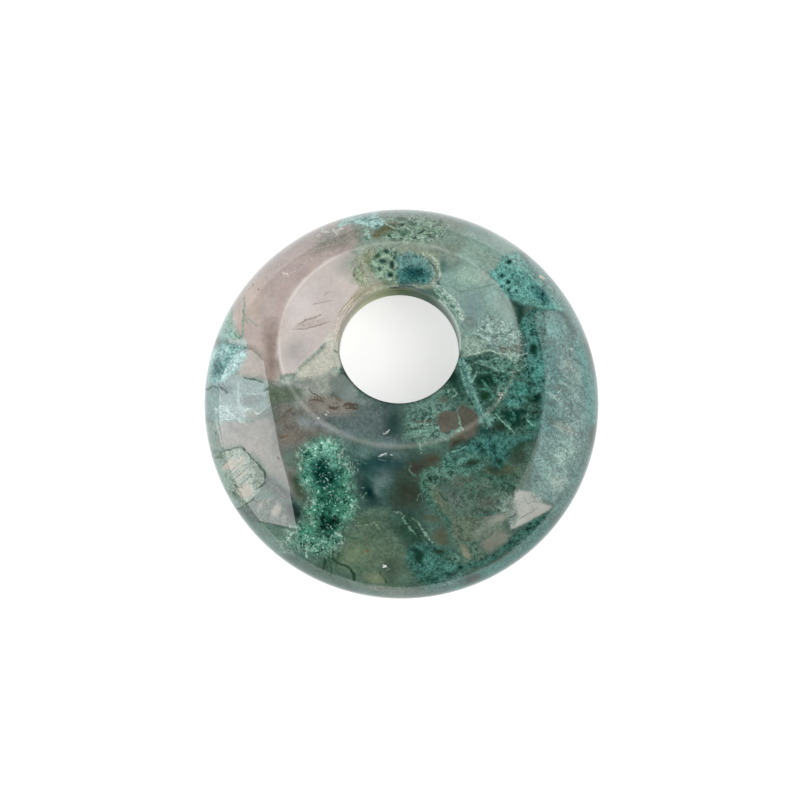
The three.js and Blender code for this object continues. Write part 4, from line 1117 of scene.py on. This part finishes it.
def mossAgate(name, polished):
    # the place's tone, darkened and lightened by the noise of its filling, then threads, then painted shade
    # at the girdle, a painted highlight along the land's edge, and on the polished faces a painted
    # highlight and painted shade on the bore's rim
    material, tree = newMaterial(name)
    smooth = {"interpolation_type": "SMOOTHSTEP"}
    metres = addNode(tree, "TexCoord").outputs["Object"]
    place = addNode(tree, "VectorMath", {0: metres, "Scale": 1 / mm}, operation="SCALE")
    sway = addNode(tree, "TexNoise", {"Vector": place, "Scale": agate["sway"], "Detail": 3.0})
    swayed = addNode(tree, "VectorMath", {
        0: sway.outputs["Color"], 1: (agate["swayReach"],) * 3, 2: place}, operation="MULTIPLY_ADD")
    filling = addNode(tree, "Attribute", attribute_name="filling")
    filling = addNode(tree, "SeparateXYZ", {0: filling.outputs["Vector"]})

    # grainy moss: rounded lumps broken up by a rough fractal noise, with fine frosted grains all over
    lumps = addNode(tree, "TexVoronoi", {"Vector": swayed, "Scale": 1 / agate["lump"]}, feature="F1")
    lumps = addNode(tree, "MapRange", {"Value": lumps, "From Min": 0.75, "From Max": 0.10})
    rough = addNode(tree, "TexNoise", {
        "Vector": swayed, "Scale": agate["rough"], "Detail": 6.0, "Roughness": 0.76})
    rough = addNode(tree, "MapRange", {"Value": rough, "From Min": 0.36, "From Max": 0.64})
    grains = addNode(tree, "TexVoronoi", {"Vector": place, "Scale": 1 / agate["grain"]}, feature="F1")
    grains = addNode(tree, "MapRange", {"Value": grains, "From Min": 0.62, "From Max": 0.12})
    dust = addNode(tree, "TexNoise", {
        "Vector": place, "Scale": agate["dust"], "Detail": 2.0, "Roughness": 0.6})
    dust = addNode(tree, "MapRange", {"Value": dust, "From Min": 0.35, "From Max": 0.65})
    grainy = addNode(tree, "Math", {0: lumps, 1: 0.22, 2: -0.20}, operation="MULTIPLY_ADD")
    grainy = addNode(tree, "Math", {0: rough, 1: 0.80, 2: grainy}, operation="MULTIPLY_ADD")
    grainy = addNode(tree, "Math", {0: grains, 1: 0.45, 2: grainy}, operation="MULTIPLY_ADD")
    grainy = addNode(tree, "Math", {0: dust, 1: 0.40, 2: grainy}, operation="MULTIPLY_ADD")

    # dusty moss has only fine grains, drawn out in one slanting direction
    hatch = addNode(tree, "VectorRotate", {
        "Vector": place, "Axis": (0.0, 0.0, 1.0), "Angle": math.radians(agate["hatchAngle"])})
    hatch = addNode(tree, "VectorMath", {0: hatch, 1: (agate["hatchLength"], 1.0, 1.0)},
                    operation="MULTIPLY")
    hatch = addNode(tree, "TexNoise", {
        "Vector": hatch, "Scale": agate["hatch"], "Detail": 3.0, "Roughness": 0.7})
    hatch = addNode(tree, "MapRange", {"Value": hatch, "From Min": 0.36, "From Max": 0.64})
    specks = addNode(tree, "TexNoise", {
        "Vector": place, "Scale": agate["specks"], "Detail": 2.0, "Roughness": 0.6})
    specks = addNode(tree, "MapRange", {"Value": specks, "From Min": 0.36, "From Max": 0.64})
    fineGrain = addNode(tree, "Math", {0: specks, 1: 0.50, 2: -0.12}, operation="MULTIPLY_ADD")
    fineGrain = addNode(tree, "Math", {0: dust, 1: 0.34, 2: fineGrain}, operation="MULTIPLY_ADD")
    fineGrain = addNode(tree, "Math", {0: hatch, 1: 0.42, 2: fineGrain}, operation="MULTIPLY_ADD")
    coarse = addNode(tree, "MapRange", {
        "Value": filling.outputs["X"], "From Min": 0.65, "From Max": 0.9})    # from dusty to mossy
    grainy = addNode(tree, "Mix", {"Factor": coarse, "A": fineGrain, "B": grainy})

    # netted moss: thin winding strands at two sizes over a hazy ground
    strands = addNode(tree, "TexVoronoi", {"Vector": swayed, "Scale": 1 / agate["mesh"]},
                      feature="DISTANCE_TO_EDGE")
    strands = addNode(tree, "MapRange", {"Value": strands, "From Min": 0.12, "From Max": 0.0}, **smooth)
    strands = addNode(tree, "Math", {0: strands, 1: rough}, operation="MULTIPLY")
    fine = addNode(tree, "TexNoise", {
        "Vector": swayed, "Scale": agate["winding"], "Detail": 3.0, "Roughness": 0.6})
    fine = addNode(tree, "Math", {0: fine, 1: -0.5}, operation="ADD")
    fine = addNode(tree, "Math", {0: fine}, operation="ABSOLUTE")
    fine = addNode(tree, "MapRange", {"Value": fine, "From Min": 0.03, "From Max": 0.0}, **smooth)
    netted = addNode(tree, "Math", {0: strands, 1: 0.7, 2: -0.10}, operation="MULTIPLY_ADD")
    netted = addNode(tree, "Math", {0: fine, 1: 0.45, 2: netted}, operation="MULTIPLY_ADD")
    netted = addNode(tree, "Math", {0: rough, 1: 0.70, 2: netted}, operation="MULTIPLY_ADD")
    netted = addNode(tree, "Math", {0: dust, 1: 0.35, 2: netted}, operation="MULTIPLY_ADD")
    structure = addNode(tree, "Mix", {"Factor": filling.outputs["Y"], "A": grainy, "B": netted})
    structure = addNode(tree, "MapRange", {"Value": structure}, **smooth)

    # moss keeps about the mean tone of its place: darker and bluer in its gaps, frosted on its tops
    tone = addNode(tree, "Attribute", attribute_name="tone").outputs["Color"]
    frost = addNode(tree, "TexNoise", {
        "Vector": place, "Scale": agate["frost"], "Detail": 3.0, "Roughness": 0.7})
    frost = addNode(tree, "MapRange", {
        "Value": frost, "From Min": 0.35, "From Max": 0.65, "To Min": 0.7, "To Max": 1.35})
    gaps = addNode(tree, "VectorMath", {0: tone, 1: agate["gaps"]}, operation="MULTIPLY")
    tops = addNode(tree, "VectorMath", {0: tone, 1: agate["tops"], 2: agate["topsFrost"]},
                   operation="MULTIPLY_ADD")
    mossTone = addNode(tree, "MixRGB", {"Fac": structure, "Color1": gaps, "Color2": tops})
    mossTone = addNode(tree, "VectorMath", {0: mossTone, "Scale": frost}, operation="SCALE")

    # crystals: pale points of every brightness, a few of them white, stand in dark glassy growth
    shaken = addNode(tree, "TexNoise", {"Vector": place, "Scale": agate["shake"], "Detail": 1.0})
    shaken = addNode(tree, "VectorMath", {
        0: shaken.outputs["Color"], 1: (agate["shakeReach"],) * 3, 2: swayed}, operation="MULTIPLY_ADD")
    sparks = addNode(tree, "TexVoronoi", {"Vector": shaken, "Scale": 1 / agate["crystal"]}, feature="F1")
    bright = addNode(tree, "SeparateXYZ", {0: sparks.outputs["Color"]})
    bright = addNode(tree, "Math", {0: bright, 1: 2.0}, operation="POWER")
    sparks = addNode(tree, "MapRange", {"Value": sparks, "From Min": 0.52, "From Max": 0.16}, **smooth)
    sparks = addNode(tree, "Math", {0: sparks, 1: bright}, operation="MULTIPLY")
    dark = addNode(tree, "VectorMath", {0: tone, 1: agate["crystalDark"]}, operation="MULTIPLY")
    middling = addNode(tree, "VectorMath", {0: tone, 1: agate["crystalMiddling"]}, operation="MULTIPLY")
    pale = addNode(tree, "VectorMath", {0: tone, 1: agate["crystalPale"], 2: agate["crystalWhite"]},
                   operation="MULTIPLY_ADD")
    crystalTone = addNode(tree, "MixRGB", {"Fac": structure, "Color1": dark, "Color2": middling})
    crystalTone = addNode(tree, "MixRGB", {"Fac": sparks, "Color1": crystalTone, "Color2": pale})
    mossTone = addNode(tree, "MixRGB", {
        "Fac": filling.outputs["Z"], "Color1": mossTone, "Color2": crystalTone})

    # clear stone: soft wisps, a fine sugary grain and a slight drift of hue, fainter where it is pale
    wisps = addNode(tree, "TexNoise", {
        "Vector": swayed, "Scale": agate["wisps"], "Detail": 6.0, "Roughness": 0.66})
    shift = addNode(tree, "MapRange", {
        "Value": wisps, "From Min": 0.3, "From Max": 0.7,
        "To Min": 1 - agate["mottle"], "To Max": 1 + agate["mottle"]})
    sugar = addNode(tree, "MapRange", {
        "Value": dust, "To Min": 1 - agate["sugar"], "To Max": 1 + agate["sugar"]})
    shift = addNode(tree, "Math", {0: shift, 1: sugar}, operation="MULTIPLY")
    calm = addNode(tree, "RGBToBW", {0: tone})
    calm = addNode(tree, "MapRange", {
        "Value": calm, "From Min": 0.10, "From Max": 0.36, "To Min": 1.0, "To Max": 0.28})
    drift = addNode(tree, "TexNoise", {
        "Vector": place, "Scale": agate["drift"], "Detail": 4.0, "Roughness": 0.6})
    drift = addNode(tree, "VectorMath", {
        0: drift.outputs["Color"], 1: agate["driftRange"], 2: agate["driftLow"]},
        operation="MULTIPLY_ADD")
    ground = addNode(tree, "VectorMath", {0: tone, 1: drift}, operation="MULTIPLY")
    ground = addNode(tree, "VectorMath", {0: ground, "Scale": shift}, operation="SCALE")
    ground = addNode(tree, "MixRGB", {"Fac": calm, "Color1": tone, "Color2": ground})
    colour = addNode(tree, "MixRGB", {
        "Fac": filling.outputs["X"], "Color1": ground, "Color2": mossTone})

    # threads: half width less distance, both frayed by noise
    threadPlace = addNode(tree, "Attribute", attribute_name="threadPlace")
    parts = addNode(tree, "SeparateXYZ", {0: threadPlace.outputs["Vector"]})
    fray = addNode(tree, "TexNoise", {
        "Vector": place, "Scale": agate["fray"], "Detail": 3.0, "Roughness": 0.65})
    fray = addNode(tree, "Math", {0: fray, 1: 0.16, 2: -0.08}, operation="MULTIPLY_ADD")
    gap = addNode(tree, "Math", {0: parts.outputs["X"], 1: fray}, operation="ADD")
    gap = addNode(tree, "Math", {0: gap}, operation="ABSOLUTE")
    uneven = addNode(tree, "Math", {0: rough, 1: dust}, operation="ADD")
    uneven = addNode(tree, "MapRange", {"Value": uneven, "From Max": 2.0, "To Min": 0.0, "To Max": 1.5})
    width = addNode(tree, "Math", {0: parts.outputs["Y"], 1: uneven}, operation="MULTIPLY")
    within = addNode(tree, "Math", {0: width, 1: gap}, operation="SUBTRACT")
    drawn = addNode(tree, "MapRange", {"Value": within, "From Min": -0.03, "From Max": 0.03}, **smooth)
    cover = addNode(tree, "MapRange", {
        "Value": parts.outputs["Y"], "From Min": 0.005, "From Max": 0.02, "To Max": agate["threadCover"]})
    drawn = addNode(tree, "Math", {0: drawn, 1: cover}, operation="MULTIPLY")
    threadTone = addNode(tree, "Attribute", attribute_name="threadTone")
    granular = addNode(tree, "MapRange", {"Value": grainy, "To Min": 0.3, "To Max": 1.5})
    granular = addNode(tree, "Mix", {"Factor": parts.outputs["Z"], "A": frost, "B": granular})
    threadTone = addNode(tree, "VectorMath", {0: threadTone, "Scale": granular}, operation="SCALE")
    colour = addNode(tree, "MixRGB", {"Fac": drawn, "Color1": colour, "Color2": threadTone})

    # an open crack breaks the polish
    crack = addNode(tree, "Math", {0: parts.outputs["Z"], 1: -1.0}, operation="ADD", use_clamp=True)
    gloss = addNode(tree, "Math", {0: drawn, 1: crack}, operation="MULTIPLY")
    gloss = addNode(tree, "MapRange", {"Value": gloss, "To Min": 1.0, "To Max": agate["crackGloss"]})

    # painted highlight: the land's edge is drawn as a pale line at the back and a broad soft band at the
    # front, stronger towards the left
    edges = addNode(tree, "Attribute", attribute_name="edges")
    edges = addNode(tree, "SeparateXYZ", {0: edges.outputs["Vector"]})
    across = addNode(tree, "SeparateXYZ", {0: place})
    along = across.outputs["Y"]
    centre = addNode(tree, "MapRange", {
        "Value": along, "From Min": -1.5, "From Max": 4.5, "To Min": -0.14, "To Max": 0.13})
    half = addNode(tree, "MapRange", {
        "Value": along, "From Min": -1.5, "From Max": 3.0, "To Min": 0.22, "To Max": 0.11})
    highlightStrength = addNode(tree, "MapRange", {
        "Value": across, "From Min": -5.0, "From Max": 5.0,
        "To Min": 1.2 * agate["edgeHighlight"], "To Max": 0.8 * agate["edgeHighlight"]})
    off = addNode(tree, "Math", {0: edges.outputs["X"], 1: centre}, operation="SUBTRACT")
    off = addNode(tree, "Math", {0: off}, operation="ABSOLUTE")
    off = addNode(tree, "Math", {0: off, 1: half}, operation="DIVIDE")
    band = addNode(tree, "MapRange", {"Value": off, "From Min": 1.0, "From Max": 0.0, "To Max": highlightStrength},
                   **smooth)

    # painted shade: the girdle is drawn darker and greener, most of all at the front
    shade = addNode(tree, "MapRange", {
        "Value": along, "From Min": -6.5, "From Max": 4.0, "To Min": 0.8, "To Max": 0.35})
    shade = addNode(tree, "MapRange", {
        "Value": edges.outputs["Z"], "From Min": 0.45, "From Max": 0.0, "To Max": shade})
    girdle = addNode(tree, "VectorMath", {0: colour, 1: agate["girdle"]}, operation="MULTIPLY")
    colour = addNode(tree, "MixRGB", {"Fac": shade, "Color1": colour, "Color2": girdle})
    band = addNode(tree, "VectorMath", {0: band, 1: agate["edgeHighlightTint"]}, operation="MULTIPLY")
    colour = addNode(tree, "VectorMath", {0: colour, 1: band}, operation="ADD")

    if polished:
        # hairline lapping marks, far too shallow to see except as a faint break in the mirrored lamps
        lapping = addNode(tree, "TexNoise", {"Vector": place, "Scale": agate["lapping"], "Detail": 2.0})
        bump = addNode(tree, "Bump", {"Height": lapping, "Strength": 0.03, "Distance": 0.0001})
        # painted highlight on the bore's rim at its far side, and painted shade at its near side
        rim = addNode(tree, "MapRange", {
            "Value": along, "From Min": 1.0, "From Max": 4.5,
            "To Min": agate["rimShade"], "To Max": agate["rimHighlight"]})
        rim = addNode(tree, "MapRange", {
            "Value": edges.outputs["Y"], "From Max": 0.14, "To Min": rim, "To Max": 1.0})
        colour = addNode(tree, "VectorMath", {0: colour, "Scale": rim}, operation="SCALE")
        finish = {"Roughness": agate["stoneRoughness"], "Coat Weight": gloss,
                  "Coat Roughness": agate["polishRoughness"], "Coat Normal": bump}
    else:
        rings = addNode(tree, "SeparateXYZ", {0: place}).outputs["Z"]
        rings = addNode(tree, "CombineXYZ", {"Z": rings})
        rings = addNode(tree, "TexNoise", {
            "Vector": rings, "Scale": agate["rings"], "Detail": 3.0, "Roughness": 0.7})
        shift = addNode(tree, "MapRange", {
            "Value": rings, "From Min": 0.35, "From Max": 0.65, "To Min": 0.7, "To Max": 1.3})
        colour = addNode(tree, "VectorMath", {0: colour, "Scale": shift}, operation="SCALE")
        bump = addNode(tree, "Bump", {"Height": rings, "Strength": 0.5, "Distance": 0.0001})
        finish = {"Roughness": agate["drilledRoughness"], "Normal": bump}
    shader = addNode(tree, "BsdfPrincipled", {
        "Base Color": colour, "Specular IOR Level": 0.0, "Coat IOR": agate["ior"], **finish})
    addNode(tree, "OutputMaterial", {"Surface": shader})
    return material


donut = bpy.data.objects.new("agate_donut_polished", stoneMesh)
bpy.context.scene.collection.objects.link(donut)
donut.data.materials.append(mossAgate("polishedMossAgate", True))
donut.data.materials.append(mossAgate("drilledMossAgate", False))
donut.data.polygons.foreach_set("material_index", onWall.astype(np.int32))
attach(donut, "root")
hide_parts("agate_donut")
print("stage 4: stone finished")

# Studio: a pale glowing sheet, a softbox on each side whose outline the polished flanks mirror, and a
# lamp overhead. A softbox's corners are shares of its distance, on the plane that faces the stone.
studio = {
    "floorSize": 3000, "floorColour": "#7c7c7c", "floorGlow": 0.95,
    "colourUnder": "#b4b4b3", "paintedShadeGlow": 0.60,
    "underReach": (7.0, 9.5),     # mm from the middle: in the stone's shade, and clear of it
    "worldLight": 0.40,
    "lift": 2,                    # mm that the softboxes stay above it
    "left": {
        "azimuth": -161.3, "elevation": 30.9, "distance": 420, "radiance": 4.1, "lights": True,
        "corners": [
            (-0.57, -0.60), (-0.56, 0.0), (-0.38, 0.41), (-0.22, 0.71), (-0.12, 0.79), (0.03, 0.77),
            (0.24, 0.60), (0.43, 0.35), (0.51, 0.22), (0.48, -0.60),
        ],
    },
    "right": {
        "azimuth": -9.0, "elevation": 31.3, "distance": 420, "radiance": 1.4, "lights": False,
        "corners": [
            (0.94, -0.60), (0.78, -0.16), (0.54, 0.34), (0.38, 0.50), (0.0, 0.53), (-0.37, 0.56),
            (-0.50, 0.44), (-0.69, 0.18), (-0.62, -0.03), (-0.56, -0.60),
        ],
    },
    "above": {"height": 700, "toRight": 230, "toBack": 10, "size": 380, "radiance": 9},
}


def addStagePiece(name, corners, material):
    mesh = bpy.data.meshes.new(name)
    mesh.from_pydata([Vector(corner) * mm for corner in corners], [], [tuple(range(len(corners)))])
    mesh.materials.append(material)
    piece = bpy.data.objects.new(name, mesh)
    bpy.context.scene.collection.objects.link(piece)
    return piece


def addFloor():
    # opal acrylic sheet: without gloss, and glowing as if lit from below; where the stone lies on it the
    # glow is weaker, a painted shade under the stone, and the colour paler
    material, tree = newMaterial("opalAcrylicSheet")
    metres = addNode(tree, "TexCoord").outputs["Object"]
    place = addNode(tree, "VectorMath", {0: metres, "Scale": 1 / mm}, operation="SCALE")
    away = addNode(tree, "VectorMath", {0: place}, operation="LENGTH").outputs["Value"]
    under, beyond = studio["underReach"]
    clear = addNode(tree, "MapRange", {"Value": away, "From Min": under, "From Max": beyond},
                    interpolation_type="SMOOTHSTEP")
    glow = addNode(tree, "Mix", {"Factor": clear, "A": studio["paintedShadeGlow"], "B": studio["floorGlow"]})
    colour = addNode(tree, "MixRGB", {
        "Fac": clear,
        "Color1": (*linear(studio["colourUnder"]), 1),
        "Color2": (*linear(studio["floorColour"]), 1),
    })
    shader = addNode(tree, "BsdfPrincipled", {
        "Base Color": colour, "Roughness": 0.8, "Specular IOR Level": 0.0,
        "Emission Color": (1, 1, 1, 1), "Emission Strength": glow,
    })
    addNode(tree, "OutputMaterial", {"Surface": shader})
    half = studio["floorSize"] / 2
    corners = [(-half, -half, 0), (half, -half, 0), (half, half, 0), (-half, half, 0)]
    addStagePiece("paleSheet", corners, material)


def direction(azimuth, elevation):
    # the unit vector at an azimuth from +X and an elevation, both in degrees
    turn, rise = math.radians(azimuth), math.radians(elevation)
    return Vector((math.cos(turn) * math.cos(rise), math.sin(turn) * math.cos(rise), math.sin(rise)))


def addSoftbox(name):
    # its corners lie across and up from the middle of its plane, and none is let down below the sheet
    box = studio[name]
    out = direction(box["azimuth"], box["elevation"])
    across = Vector((0, 0, 1)).cross(out).normalized()
    up = out.cross(across)
    corners = [(out + u * across + v * up) * box["distance"] for u, v in box["corners"]]
    lift = studio["lift"]
    corners = [corner if corner.z > lift else corner + up * (lift - corner.z) / up.z for corner in corners]
    material, tree = newMaterial(name + "SoftboxCloth")
    glow = addNode(tree, "Emission", {"Color": (1, 1, 1, 1), "Strength": box["radiance"]})
    addNode(tree, "OutputMaterial", {"Surface": glow})
    softbox = addStagePiece(name + "Softbox", corners, material)
    softbox.visible_camera = False
    softbox.visible_diffuse = box["lights"]     # the other one is only there to be mirrored


def addOverheadLamp():
    lamp = studio["above"]
    # a disc that faces the stone: its power is its radiance times pi times its area
    light = bpy.data.lights.new("overhead", "AREA")
    light.shape = "DISK"
    light.size = lamp["size"] * mm
    light.energy = lamp["radiance"] * math.pi * math.pi * (light.size / 2) ** 2
    holder = bpy.data.objects.new("overhead", light)
    holder.location = Vector((lamp["toRight"], lamp["toBack"], lamp["height"])) * mm
    holder.rotation_mode = "QUATERNION"
    holder.rotation_quaternion = holder.location.to_track_quat("Z", "Y")
    holder.visible_camera = holder.visible_glossy = False    # it fills the shade and isn't mirrored
    bpy.context.scene.collection.objects.link(holder)


addFloor()
addSoftbox("left")
addSoftbox("right")
addOverheadLamp()

world = bpy.data.worlds.new("studio")
world.use_nodes = True
world.node_tree.nodes["Background"].inputs["Color"].default_value = (1, 1, 1, 1)
world.node_tree.nodes["Background"].inputs["Strength"].default_value = studio["worldLight"]
world.cycles_visibility.glossy = False      # it is only a fill: the polish mirrors the softboxes alone
bpy.context.scene.world = world
bpy.context.scene.view_settings.view_transform = "Standard"

# Camera: nearly straight above, 400 mm away, aimed a hair above the stone's middle.
camera = {
    "distance": 400,
    "azimuth": 0.4,             # degrees from the front
    "elevation": 87.0,
    "aim": (-0.07, 0.18, middle),
    "fieldWidth": 36.53,        # mm across the picture at the stone
    "sensor": 36,
}


def addCamera():
    data = bpy.data.cameras.new("camera")
    data.sensor_width = camera["sensor"]
    data.lens = camera["sensor"] * camera["distance"] / camera["fieldWidth"]
    data.clip_start, data.clip_end = 0.01, 10
    back = direction(camera["azimuth"] - 90, camera["elevation"])
    holder = bpy.data.objects.new("camera", data)
    holder.location = (Vector(camera["aim"]) + back * camera["distance"]) * mm
    holder.rotation_mode = "QUATERNION"
    holder.rotation_quaternion = back.to_track_quat("Z", "Y")
    bpy.context.scene.collection.objects.link(holder)
    bpy.context.scene.camera = holder


addCamera()
print("stage 5: studio and camera")
